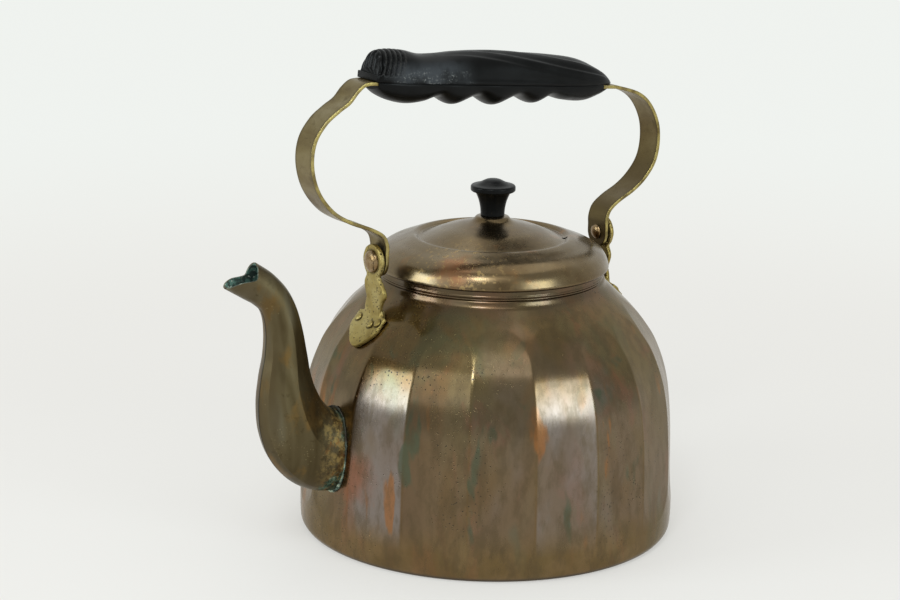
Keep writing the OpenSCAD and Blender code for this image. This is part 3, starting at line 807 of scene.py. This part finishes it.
def make_spout(name, s, node):
    A, a = spout_rows(0.04, s)
    B, _ = spout_rows(1.2, s)
    # small unevenness
    flat = A.reshape(-1, 3)
    push = 0.10 * vnoise(flat, 12, 4, 2)
    ctr = np.stack([sp[:, 0], np.zeros(len(sp)), sp[:, 1]], 1)[:, None, :]
    N = A - ctr
    N /= np.linalg.norm(N, axis=2)[..., None]
    edge = (np.abs(np.cos(a)) > 0.05)[None, :, None]
    A = A + N * ((push.reshape(A.shape[:2]) - 0.10)[..., None]) * edge
    A[:, 0, 1] = A[:, -1, 1] = B[:, 0, 1] = B[:, -1, 1] = s * 0.02
    rows = np.concatenate([A, B[:, ::-1]], 1)
    n, m, _ = rows.shape
    V = rows.reshape(-1, 3)
    q = grid_faces(n, m)
    h = m // 2
    j = np.arange(h - 1)
    cap0 = np.stack([j + 1, j, m - 1 - j, m - 2 - j], 1)
    cap1 = (n - 1) * m + np.stack([j, j + 1, m - 2 - j, m - 1 - j], 1)
    quads = np.concatenate([q, cap0, cap1])
    o = build(name, V, quads, (), 28)
    for cut in (prism("cut_wall", wall_cutter(), 30), prism("cut_mouth", mouth_poly, 30)):
        modifier(o, "BOOLEAN", operation="DIFFERENCE", object=cut, solver="EXACT")
        bake_modifiers(o, 28)
        bpy.data.objects.remove(cut)
    # which points lie on the inner skin
    co = coords(o.data) / MM
    d = np.full(len(co), 1e9)
    best = np.zeros(len(co), int)
    for i in range(0, len(sp), 2):
        dd = (co[:, 0] - sp[i, 0]) ** 2 + (co[:, 2] - sp[i, 1]) ** 2
        k = dd < d
        d[k] = dd[k]
        best[k] = i
    nx, nz = sp_n[best, 0], sp_n[best, 1]
    h = ((co[:, 0] - sp[best, 0]) * nx + (co[:, 2] - sp[best, 1]) * nz) / (sp[best, 2] - 0.6)
    w = co[:, 1] / (sp[best, 3] - 0.6)
    inside = (h * h + w * w < 0.90).astype(float) * smooth((co[:, 2] - 100) / 20)
    attribute(o, "inside", inside)
    return dress(o, "spout", "kettle", "spout_brass", node)


make_spout("spout_left", 1, "spout_left_half")
make_spout("spout_right", -1, "spout_right_half")


def make_solder():
    n, m = 260, 18
    b = np.arange(n) * 2 * math.pi / n
    cy = 14.3 * np.sign(np.cos(b)) * np.abs(np.cos(b)) ** 0.9
    cz = 56 + 21.7 * np.sin(b)
    cx = -wall_radius(cz) * (1 - DEPTH * arch(cz)) - 0.05
    C = np.stack([cx, cy, cz], 1)
    radial = np.stack([np.zeros(n), np.cos(b), np.sin(b)], 1)
    out = np.tile([-1.0, 0, 0], (n, 1))
    g = np.arange(m) * 2 * math.pi / m
    size = 0.62 + 0.26 * vnoise(C, 3.0, 5, 2) + 1.15 * smooth((48 - cz) / 12)
    lift = 0.55 * size
    rows = C[:, None] + (radial[:, None] * np.cos(g)[None, :, None] * size[:, None, None]
                         + out[:, None] * np.sin(g)[None, :, None] * (size * 0.75)[:, None, None]) + out[:, None] * 0
    flat = rows.reshape(-1, 3)
    N = rows - C[:, None]
    N /= np.linalg.norm(N, axis=2)[..., None]
    rows = rows + N * (0.35 * vnoise(flat, 1.3, 21, 2) + 0.12 * vnoise(flat, 0.6, 31)).reshape(n, m)[..., None]
    V = rows.reshape(-1, 3)
    i, j = np.meshgrid(np.arange(n), np.arange(m), indexing="ij")
    q = np.stack([i * m + j, i * m + (j + 1) % m, ((i + 1) % n) * m + (j + 1) % m, ((i + 1) % n) * m + j], -1).reshape(-1, 4)
    o = build("spout_joint", V, q)
    return dress(o, "solder", "kettle", "solder", "spout_solder_seam")


make_solder()


# ------------------------------------------------------------------ ears and rivets
def soft_copy(name, node, voxel, smoothing, pit):
    """A cast piece: the CAD solid with its corners eased and its skin made uneven."""
    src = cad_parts[node]
    me = src.data.copy()
    o = bpy.data.objects.new(name, me)
    bpy.context.scene.collection.objects.link(o)
    import bmesh
    bm = bmesh.new()
    bm.from_mesh(me)
    bmesh.ops.remove_doubles(bm, verts=bm.verts, dist=1e-7)
    bm.to_mesh(me)
    bm.free()
    modifier(o, "REMESH", mode="VOXEL", voxel_size=voxel, adaptivity=0)
    modifier(o, "SMOOTH", iterations=smoothing, factor=0.5)
    bake_modifiers(o)
    V, N = coords(o.data), normals(o.data)
    mmv = V / MM
    d = pit * (0.5 * vnoise(mmv, 5, 2, 2) + 0.35 * vnoise(mmv, 1.6, 7, 2))
    hole = clamp01(vnoise(mmv, 1.1, 13) * 2.2 - 1.25) * clamp01(vnoise(mmv, 6, 17) * 2 + 0.6)
    d = d - 0.22 * hole
    set_coords(o.data, V + N * (d * MM)[:, None])
    return o


def ear(name, node, sign):
    o = soft_copy(name, node, 0.00042, 9, 0.16)
    V = coords(o.data) / MM
    # the lobe hangs to one side, and the leaf narrows to its tip
    tip = np.array([math.cos(math.radians(43)) * sign, 0, -math.sin(math.radians(43))])
    along = (V - np.array([76 * sign, 0, 119.2])) @ tip
    leaf = V[:, 2] < 131
    V[:, 1] *= np.where(leaf, 1 - 0.30 * smooth((along - 2) / 11), 1)
    bell = np.exp(-((V[:, 2] - 134.8) / 5.2) ** 2)
    V[:, 1] += sign * bell * (2.6 + 0.10 * V[:, 1] * sign)
    set_coords(o.data, V * MM)
    # painted shade: dark rings in the crevices round the rivets' heads on the foot, and round the pivot's head
    tilt = math.radians(43)
    axis = np.array([math.cos(tilt) * sign, 0, math.sin(tilt)])
    axis = np.array([math.sin(math.radians(47)) * sign, 0, math.cos(math.radians(47))])
    down = np.array([math.cos(math.radians(47)) * sign, 0, -math.sin(math.radians(47))])
    c = np.array([76 * sign, 0, 119.2])
    rim = np.zeros(len(V))
    for p, q in ((-1, -8.2), (0.5, 4.3), (-1.5, 9.3)):
        d = V - c
        u = d @ down - p
        v = d[:, 1] * sign - q
        rr = np.hypot(u, v)
        near = (d @ axis > -1) & (V[:, 2] < 130)
        rim = np.maximum(rim, np.where(near, smooth((3.1 - rr) / 0.8), 0))
    rr = np.hypot(V[:, 1], V[:, 2] - 152)
    rim = np.maximum(rim, np.where(V[:, 2] > 140, 0.8 * smooth((7.1 - rr) / 0.9), 0))
    attribute(o, "rim", rim)
    return dress(o, "ear", "kettle", "ear_brass", node)


ear("ear_front", "front_ear", -1)
ear("ear_rear", "rear_ear", 1)


def head_profile(r, h, shank, drop, n=14):
    """A domed rivet head of radius r and height h on a shank."""
    t = np.linspace(0, math.pi / 2, n)
    dome = np.stack([r * np.cos(t) ** 0.8, h * np.sin(t)], 1)[:-1]
    return np.concatenate([[[0, -drop], [shank, -drop], [shank, -0.25], [r * 0.98, -0.25]], dome, [[0, h]]])


def foot_rivets(name, node, sign):
    parts = []
    for k, (p, q) in enumerate(((-1, -8.2), (0.5, 4.3), (-1.5, 9.3))):
        o = turned(f"{name}_{k}", head_profile(2.1, 0.8, 1.45, 5), 48, 50)
        V = coords(o.data) / MM
        top = V[:, 2] > -0.1
        V[top] *= (1 + 0.05 * vnoise(V[top] + 9 * k, 1.5, 3 + k))[:, None]
        set_coords(o.data, V * MM)
        m = Matrix.Translation((0.076, 0, 0.1192)) @ Matrix.Rotation(math.radians(47), 4, "Y") @ Matrix.Translation((p * MM, q * MM, 0.00225))
        if sign < 0:
            m = Matrix.Rotation(math.pi, 4, "Z") @ m
        place(o, m)
        parts.append(o)
    with bpy.context.temp_override(active_object=parts[0], selected_editable_objects=parts, selected_objects=parts, object=parts[0]):
        bpy.ops.object.join()
    parts[0].name = name
    attribute(parts[0], "rim", np.zeros(len(parts[0].data.vertices)))
    return dress(parts[0], "ear", "kettle", "rivet_copper", node)


foot_rivets("foot_rivets_front", "front_ear_rivets", -1)
foot_rivets("foot_rivets_rear", "rear_ear_rivets", 1)

PX, PZ = 69.9, 152.0
EAR1 = 74.3


def pivot(name, node, sign):
    x_in = PX - 1 - 0.3
    t = np.linspace(0, math.pi / 2, 14)
    head = np.stack([5.85 * np.cos(t) ** 0.75, EAR1 + 2.6 * np.sin(t)], 1)[:-1]
    tail = np.stack([4.0 * np.sin(t), x_in - 1.6 + 0.8 * (1 - np.sin(t) ** 3)[::-1] * 0 - 0.0 * t], 1)
    prof = [[0, x_in - 1.6], [1.2, x_in - 1.55], [2.6, x_in - 1.25], [3.5, x_in - 0.7], [4.0, x_in - 0.15], [3.9, x_in], [2.5, x_in], [2.5, EAR1 - 0.1], [5.8, EAR1 - 0.1]]
    prof = np.concatenate([prof, head, [[0, EAR1 + 2.6]]])

    def wob(rows):
        f = rows.reshape(-1, 3)
        k = f[:, 2] > EAR1
        f[k, :2] *= (1 + 0.015 * vnoise(f[k], 3.0, 5))[:, None]
        k = f[:, 2] < x_in
        f[k, :2] *= (1 + 0.10 * vnoise(f[k], 2.0, 6))[:, None]
        return f.reshape(rows.shape)

    o = turned(name, prof, 72, 50, wob)
    m = Matrix.Translation((0, 0, PZ * MM)) @ Matrix.Rotation(math.pi / 2, 4, "Y")
    if sign < 0:
        m = Matrix.Rotation(math.pi, 4, "Z") @ m
    place(o, m)
    return dress(o, "rivet", "kettle", "rivet_copper", node)


pivot("pivot_front", "front_pivot_rivet", -1)
pivot("pivot_rear", "rear_pivot_rivet", 1)

# ------------------------------------------------------------------ strap
TILT = math.radians(5)
GO = np.array([-3, 239.5])


def grip_xz(u, v):
    return np.array([GO[0] + u * math.cos(TILT) + v * math.sin(TILT), GO[1] - u * math.sin(TILT) + v * math.cos(TILT)])


ST, SW = 2.0, 16.0
strap_v = -ST / 2 - 0.05
left_knots = [[-PX, PZ], [-PX, 156], [-PX, 161], [-72.4, 166.4], [-80, 170.8], [-92, 175.6], [-102.5, 182.2],
              [-110.8, 193], [-114.4, 206], [-113, 218], [-107, 227], [-99.4, 232.8], [-93.2, 236.6], [-88.6, 241.6], [-84, 244.8]]
right_knots = [[PX, PZ], [PX, 155], [PX, 159.6], [72, 165], [78, 169.6], [87.4, 174.6], [95, 180.6],
               [101, 189], [103.2, 199.6], [101.8, 210.6], [96, 221], [87.6, 227.4]]


def make_strap():
    L = spline(left_knots + [grip_xz(-76, strap_v).tolist()], 8)
    R = spline(right_knots + [grip_xz(77, strap_v).tolist()], 8)[::-1]
    M = np.array([grip_xz(u, strap_v) for u in np.linspace(-73, 74, 40)])
    d = np.linspace(8, 0, 14)[:-1]
    end_l = np.stack([np.full(13, -PX), PZ - d], 1)
    end_r = np.stack([np.full(13, PX), PZ - d[::-1]], 1)
    line = np.concatenate([end_l, L, M, R, end_r])
    t = tangents(line)
    nrm = np.stack([t[:, 1], -t[:, 0]], 1)
    half = np.full(len(line), SW / 2)
    for k in range(13):
        w = math.sqrt(max(64 - d[k] ** 2, 0.0)) if d[k] < 8 else 0.8
        half[k] = max(w, 0.9)
        half[len(line) - 1 - k] = max(w, 0.9)
    # section: a flat strip with small round edges and a faintly hollow face
    th = ST / 2
    e = 0.42
    sec = []
    for (sy, sn) in ((1, 1), (-1, 1), (-1, -1), (1, -1)):
        a0 = {(1, 1): 0, (-1, 1): 90, (-1, -1): 180, (1, -1): 270}[(sy, sn)]
        for k in range(5):
            a = math.radians(a0 + 22.5 * k)
            sec.append((sy, e * (math.cos(a)) - sy * e, sn * (th - e) + e * math.sin(a)))
        if a0 in (0, 180):
            for f in np.linspace(0.93, -0.93, 11):
                sec.append((sy * f, -sy * f * e * 0.0, sn * (th - 0.05 * (1 - f * f))))
    sec = np.array(sec)
    rows = []
    edge = []
    edge_shade_band = []
    for i in range(len(line)):
        y = sec[:, 0] * half[i] + sec[:, 1]
        n = sec[:, 2]
        rows.append(np.stack([line[i, 0] + nrm[i, 0] * n, y, line[i, 1] + nrm[i, 1] * n], 1))
        # the rounded edges carry painted highlight ('edge'), the band just inside them painted shade ('line')
        isedge = (np.abs(sec[:, 0]) == 1) & (np.abs(sec[:, 2]) < th - 0.02)
        edge.append(isedge.astype(float))
        edge_shade_band.append(((np.abs(sec[:, 0]) < 0.999) & (np.abs(sec[:, 0]) > 0.90)).astype(float))
    rows = np.array(rows)
    o = closed_rows("strap", rows, 40)
    attribute(o, "edge", np.concatenate([np.array(edge).ravel(), [0, 0]]))
    attribute(o, "line", np.concatenate([np.array(edge_shade_band).ravel(), [0, 0]]))
    V = coords(o.data) / MM
    N = normals(o.data)
    inside_grip = (V[:, 2] > 236) & (np.abs(V[:, 0] + 3) < 78)
    k = np.where(inside_grip | (V[:, 2] < 162), 0, 1)
    V = V + N * ((0.10 * vnoise(V, 14, 6, 2) - 0.05) * k)[:, None]
    set_coords(o.data, V * MM)
    return dress(o, "strap", "bail", "strap_brass", "bail_strap")


make_strap()

# ------------------------------------------------------------------ grip
upper_knots = [[-75.2, 6.4, 8.8], [-74.2, 12.2, 9.8], [-72, 15.1, 10.6], [-69, 15.7, 11], [-64, 16.0, 11.6], [-56, 15.4, 12.6], [-47, 13.8, 13],
               [-36, 14.2, 13.2], [-24, 15.6, 13.5], [-8, 16.6, 13.5], [24, 16.4, 13.2], [46, 15, 12.4], [57, 12.8, 11], [66, 9, 9], [72, 5.4, 6.4], [75.5, 2.2, 3.6]]
lower_knots = [[-74, 4.6, 8.8], [-70, 7.6, 10.2], [-63, 10.2, 11.8], [-54, 11.6, 12.8], [-45, 10.6, 12.6], [-36, 8, 12.6], [-25.5, 11.8, 13.2],
               [-12.5, 7.4, 12.6], [-0.5, 12, 13.2], [12.5, 7.2, 12.6], [24.5, 10.8, 12.8], [34, 7, 12.2], [45, 9, 12.2], [57, 9.4, 11], [66, 6.6, 9], [72, 3.8, 6.4], [75.5, 1.8, 3.6]]
G = Matrix.Translation((GO[0] * MM, 0, GO[1] * MM)) @ Matrix.Rotation(TILT, 4, "Y")


def ridge(x, w_sharp, w_soft):
    """A crease: rises gently on one side and falls quickly on the other."""
    return np.where(x < 0, np.exp(-(x / w_soft) ** 2), np.exp(-(x / w_sharp) ** 2))


def grip_rows(knots, s):
    line = spline(knots, 14)
    a = np.radians(np.concatenate([[0, 0.15, 0.4, 0.8], np.linspace(1.6, 178.4, 95), [179.2, 179.6, 179.85, 180]]))
    m = len(a)
    u = line[:, 0][:, None]
    h = line[:, 1][:, None] * np.sin(a)[None, :] ** 0.8
    # a fine groove where the halves meet
    near = np.exp(-(h / 0.42) ** 2)
    w = (line[:, 2][:, None] - 0.5 * near) * np.cos(a)[None, :]
    rows = np.stack([np.repeat(u, m, 1), -w, s * h], -1)
    return rows, line, a


def make_upper():
    rows, line, a = grip_rows(upper_knots, 1)
    n, m, _ = rows.shape
    u, y, h = rows[..., 0], rows[..., 1], rows[..., 2]
    worn = np.zeros((n, m))
    # outward direction in the section
    D = np.stack([np.zeros_like(u), y, h * 0.9], -1)
    D /= np.maximum(np.linalg.norm(D, axis=2), 1e-6)[..., None]
    # flutes round the tall end: slanting grooves from the parting line over the top
    ph = u - 0.30 * h + 75.4
    zone = smooth((ph + 1.6) / 1.2) * smooth((13.6 - ph) / 0.8) * smooth((h - 3.2) / 1.5)
    wave = np.abs(np.sin(math.pi * ph / 2.75)) ** 0.7
    groove = -(1 - wave) * 1.15 * zone
    worn += smooth((wave - 0.90) / 0.1) * zone * 0.55
    # the same flutes stand upright across the end
    cap = smooth((-71.6 - u) / 1.6) * smooth((h - 3.4) / 1.5)
    upright = 1 - np.abs(np.sin(math.pi * (y + 9.2) / 4.1)) ** 0.7
    rows[..., 0] += 0.95 * upright * cap
    u = rows[..., 0]
    # twisting ridges that run from the saddle to the far end
    ang = np.degrees(np.arctan2(h, -y))  # 0 front parting line, 90 top
    ridges = np.zeros((n, m))
    for a0, a1, amp in ((88, 30, 0.85), (112, 54, 0.75), (68, 12, 0.6)):
        f = smooth((u + 44) / 108)
        mid = a0 + (a1 - a0) * f
        x = (ang - mid) * 0.24
        on = smooth((u + 40) / 26) * smooth((74 - u) / 14)
        ridges += amp * on * (ridge(x, 1.0, 4.5) - 0.35)
    rows = rows + D * (groove + ridges * smooth((h - 0.5) / 3) - 0.25 * smooth((u + 30) / 20) * smooth((h - 0.5) / 4))[..., None]
    rows[..., 2] = np.maximum(rows[..., 2], 0.0)
    V = rows.reshape(-1, 3)
    k = vnoise(V, 18, 4, 2) * 0.10
    V = V + D.reshape(-1, 3) * ((k - 0.05) * (V[:, 2] > 0.5))[:, None]
    j = np.arange(m - 2) + 1
    near = np.stack([np.zeros(m - 2, int), j, j + 1], 1)
    far = np.stack([np.full(m - 2, (n - 1) * m), (n - 1) * m + j + 1, (n - 1) * m + j], 1)
    o = build("grip_upper", V, grid_faces(n, m), np.concatenate([near, far]), 40)
    attribute(o, "worn", worn.ravel())
    attribute(o, "rub", np.ones(n * m))
    place(o, G)
    return dress(o, "bakelite", "bail", "bakelite", "grip_upper_half")


def box_piece(name, lo, hi, bevel, segments=3):
    lo, hi = np.array(lo, float), np.array(hi, float)
    V = np.array([[x, y, z] for x in (lo[0], hi[0]) for y in (lo[1], hi[1]) for z in (lo[2], hi[2])])
    q = [[0, 1, 3, 2], [4, 6, 7, 5], [0, 4, 5, 1], [2, 3, 7, 6], [0, 2, 6, 4], [1, 5, 7, 3]]
    o = build(name, V, q)
    modifier(o, "BEVEL", width=bevel * MM, segments=segments, limit_method="ANGLE")
    bake_modifiers(o, 40)
    return o


def make_lower():
    rows, line, a = grip_rows(lower_knots, -1)
    n, m, _ = rows.shape
    u, y, h = rows[..., 0], rows[..., 1], rows[..., 2]
    V = rows.reshape(-1, 3)
    D = np.stack([np.zeros(len(V)), V[:, 1], V[:, 2]], 1)
    D /= np.maximum(np.linalg.norm(D, axis=1), 1e-6)[:, None]
    k = vnoise(V, 16, 9, 2) * 0.10
    V = V + D * ((k - 0.05) * (V[:, 2] < -0.5))[:, None]
    j = np.arange(m - 2) + 1
    near = np.stack([np.zeros(m - 2, int), j, j + 1], 1)
    far = np.stack([np.full(m - 2, (n - 1) * m), (n - 1) * m + j + 1, (n - 1) * m + j], 1)
    o = build("grip_lower", V, grid_faces(n, m), np.concatenate([near, far]), 40)
    cut = box_piece("cut_channel", (-95, -8.25, -2.15), (95, 8.25, 1), 0.05, 1)
    modifier(o, "BOOLEAN", operation="DIFFERENCE", object=cut, solver="EXACT")
    bake_modifiers(o, 40)
    bpy.data.objects.remove(cut)
    for uu in (-52, 46):
        cut = turned("cut_screw", [[0, -30], [3.2, -30], [3.2, -6.5], [0, -6.5]], 48)
        place(cut, Matrix.Translation((uu * MM, 0, 0)))
        modifier(o, "BOOLEAN", operation="DIFFERENCE", object=cut, solver="EXACT")
        bake_modifiers(o, 40)
        bpy.data.objects.remove(cut)
    attribute(o, "worn", np.zeros(len(o.data.vertices)))
    place(o, G)
    return dress(o, "bakelite", "bail", "bakelite", "grip_lower_half")


make_upper()
make_lower()
lip = box_piece("grip_lip", (-76, -9.4, 0.05), (-68.4, 9.4, 3.6), 0.35)
attribute(lip, "worn", np.zeros(len(lip.data.vertices)))
place(lip, G)
dress(lip, "bakelite", "bail", "bakelite")

# ------------------------------------------------------------------ lid
lid_knots = [[60.9, 141.8], [61.75, 142.5], [61.9, 143.4], [61.45, 145.1], [60.75, 147.1], [59.7, 149.1], [58.2, 150.9], [56.0, 152.5], [52.8, 154.2],
             [48.5, 155.8], [44.5, 157.3], [41.4, 158.1], [39.6, 157.4], [38.4, 156.6], [36.4, 157], [31.5, 159], [25, 161.6],
             [18, 163.6], [13, 165], [10.8, 165.9], [9.6, 166.8], [8.4, 168], [6.4, 168.4]]


def make_lid():
    top = spline(lid_knots, 8)
    bottom = side(top, -1.0)
    prof = np.concatenate([[[0, 167.4]], bottom[::-1][:-1], [[59.75, 141.8], [60.1, 141.65]], top, [[0, 168.4]]])
    prof = prof[(prof[:, 0] > 0.01) | (np.arange(len(prof)) == 0) | (np.arange(len(prof)) == len(prof) - 1)]

    def wob(rows):
        f = rows.reshape(-1, 3)
        k = smooth((160 - f[:, 2]) / 6) * smooth((f[:, 2] - 143) / 3)
        f[:, 2] += (0.10 * vnoise(f, 22, 2, 2) - 0.1) * k
        return f.reshape(rows.shape)

    o = turned("lid", prof, 288, 40, wob)
    cut = turned("cut_vent", [[0, 150], [1.6, 150], [1.6, 166], [0, 166]], 32)
    a = math.radians(-34)
    place(cut, Matrix.Translation((38.4 * MM * math.cos(a), 38.4 * MM * math.sin(a), 0)))
    modifier(o, "BOOLEAN", operation="DIFFERENCE", object=cut, solver="EXACT")
    bake_modifiers(o, 40)
    bpy.data.objects.remove(cut)
    return dress(o, "lid", "lid", "lid_copper", "lid_shell")


make_lid()


def make_collar():
    prof = round_corner([[56.3, 150.2], [56.3, 132.4], [56.7, 131.8], [57.0, 131.8], [57.3, 132.4], [57.3, 150.0]], 0.2, 3)
    n = 256
    a = np.arange(n) * 2 * math.pi / n
    k = len(prof)
    rows = np.stack([prof[:, :1] * np.cos(a), prof[:, :1] * np.sin(a), np.repeat(prof[:, 1:], n, 1)], -1)
    i, j = np.meshgrid(np.arange(k), np.arange(n), indexing="ij")
    q = np.stack([i * n + j, i * n + (j + 1) % n, ((i + 1) % k) * n + (j + 1) % n, ((i + 1) % k) * n + j], -1).reshape(-1, 4)
    o = build("collar", rows.reshape(-1, 3), q, (), 40)
    return dress(o, "lid", "lid", "lid_copper", "lid_collar")


make_collar()


def make_knob():
    stem = spline([[6.3, 168.7], [6.5, 172], [7.3, 176], [8.7, 179.6], [9.7, 181.2]], 8)
    rim = round_corner([[9.7, 181.2], [11.3, 181.4], [11.8, 182], [11.8, 183.9], [11.4, 184.5], [10.8, 184.7]], 0.35, 4)[1:-1]
    top = spline([[10.8, 184.7], [8.6, 185.2], [6.4, 186.2], [4, 187.4], [2, 187.9], [0, 188]], 8)
    prof = np.concatenate([[[0, 168.4], [6.0, 168.4]], stem, rim, top[:-1], [[0, 188]]])
    o = turned("knob", prof, 160, 45)
    attribute(o, "worn", np.zeros(len(o.data.vertices)))
    return dress(o, "bakelite", "lid", "bakelite", "lid_knob")


make_knob()

for node in ("grip_screws", "knob_washer", "knob_screw"):
    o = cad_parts[node]
    o.data.materials.clear()
    o.data.materials.append(mats["screw"])

# ------------------------------------------------------------------ stage
def make_floor():
    n = 96
    a = np.arange(n) * 2 * math.pi / n
    rings = [0.15, 0.4, 1, 2.5, 6, 14]
    V = [[0, 0, 0]] + [[r * 1000 * math.cos(t), r * 1000 * math.sin(t), 0] for r in rings for t in a]
    tris = [[0, 1 + j, 1 + (j + 1) % n] for j in range(n)]
    quads = [[1 + i * n + j, 1 + (i + 1) * n + j, 1 + (i + 1) * n + (j + 1) % n, 1 + i * n + (j + 1) % n] for i in range(len(rings) - 1) for j in range(n)]
    o = build("floor", V, quads, tris, None, False)
    m = Mat("floor_paper")
    m.set(Base_Color=(0.80, 0.79, 0.765), Roughness=0.9)
    # far off, the paper fades into the pale light behind the object
    n1 = m.t.nodes.new("ShaderNodeVectorMath")
    n1.operation = "LENGTH"
    m.link(m.co, n1.inputs[0])
    f = m.range(n1.outputs["Value"], 0.10, 0.8, 0.56, 1)
    em = m.t.nodes.new("ShaderNodeEmission")
    m.link(m.mix(m.range(n1.outputs["Value"], 0.2, 1.2), (0.830, 0.815, 0.780), (0.868, 0.892, 0.862)), em.inputs[0])
    mixs = m.t.nodes.new("ShaderNodeMixShader")
    m.link(f, mixs.inputs[0])
    m.link(m.bsdf.outputs[0], mixs.inputs[1])
    m.link(em.outputs[0], mixs.inputs[2])
    m.link(mixs.outputs[0], m.out.inputs[0])
    o.data.materials.append(m.m)


make_floor()

world = bpy.data.worlds.new("studio")
bpy.context.scene.world = world
world.use_nodes = True
wt = world.node_tree
wt.nodes.clear()
wout = wt.nodes.new("ShaderNodeOutputWorld")
bg = wt.nodes.new("ShaderNodeBackground")
co = wt.nodes.new("ShaderNodeTexCoord")
dot = wt.nodes.new("ShaderNodeVectorMath")
dot.operation = "DOT_PRODUCT"
dot.inputs[1].default_value = (0.559, 0.829, 0.0)
wt.links.new(co.outputs["Generated"], dot.inputs[0])
rmp = wt.nodes.new("ShaderNodeMapRange")
rmp.interpolation_type = "SMOOTHSTEP"
rmp.inputs["From Min"].default_value = -0.15
rmp.inputs["From Max"].default_value = 0.75
rmp.inputs["To Min"].default_value = 0.55
rmp.inputs["To Max"].default_value = 0.86
wt.links.new(dot.outputs["Value"], rmp.inputs["Value"])
wt.links.new(rmp.outputs[0], bg.inputs["Strength"])
bg.inputs["Color"].default_value = (0.97, 1.0, 0.985, 1)
# past the floor's far edge there is only pale paper
far = wt.nodes.new("ShaderNodeBackground")
far.inputs["Color"].default_value = (0.868, 0.892, 0.862, 1)
path = wt.nodes.new("ShaderNodeLightPath")
both = wt.nodes.new("ShaderNodeMixShader")
wt.links.new(path.outputs["Is Camera Ray"], both.inputs[0])
wt.links.new(bg.outputs[0], both.inputs[1])
wt.links.new(far.outputs[0], both.inputs[2])
wt.links.new(both.outputs[0], wout.inputs[0])


def softbox(name, az, el, dist, w, h, power, color=(1, 1, 1)):
    """A rectangular soft light aimed at the kettle's middle."""
    d = bpy.data.lights.new(name, "AREA")
    d.shape = "RECTANGLE"
    d.size, d.size_y = w, h
    d.energy = power
    d.color = color
    o = bpy.data.objects.new(name, d)
    a, e = math.radians(az), math.radians(el)
    v = Vector((math.cos(a) * math.cos(e), math.sin(a) * math.cos(e), math.sin(e)))
    o.location = Vector((0, 0, 0.12)) + v * dist
    o.rotation_mode = "QUATERNION"
    o.rotation_quaternion = v.to_track_quat("Z", "Y")
    bpy.context.scene.collection.objects.link(o)
    return o


softbox("left_softbox", 166, 17, 1.5, 0.66, 0.60, 7.4, (0.87, 0.97, 1.0))
softbox("right_softbox", -76, 17, 1.5, 0.62, 0.60, 6.4, (0.85, 0.97, 1.0))
softbox("left_fill", -157, 30, 1.6, 0.50, 0.75, 1.5, (0.95, 0.98, 1.0))
softbox("front_softbox", -118, 50, 1.7, 0.80, 0.40, 1.1)
softbox("front_key", -137, 44, 1.7, 0.30, 0.40, 6.8, (0.92, 0.97, 1.0))
softbox("top_softbox", 40, 75, 1.8, 1.6, 1.6, 5)
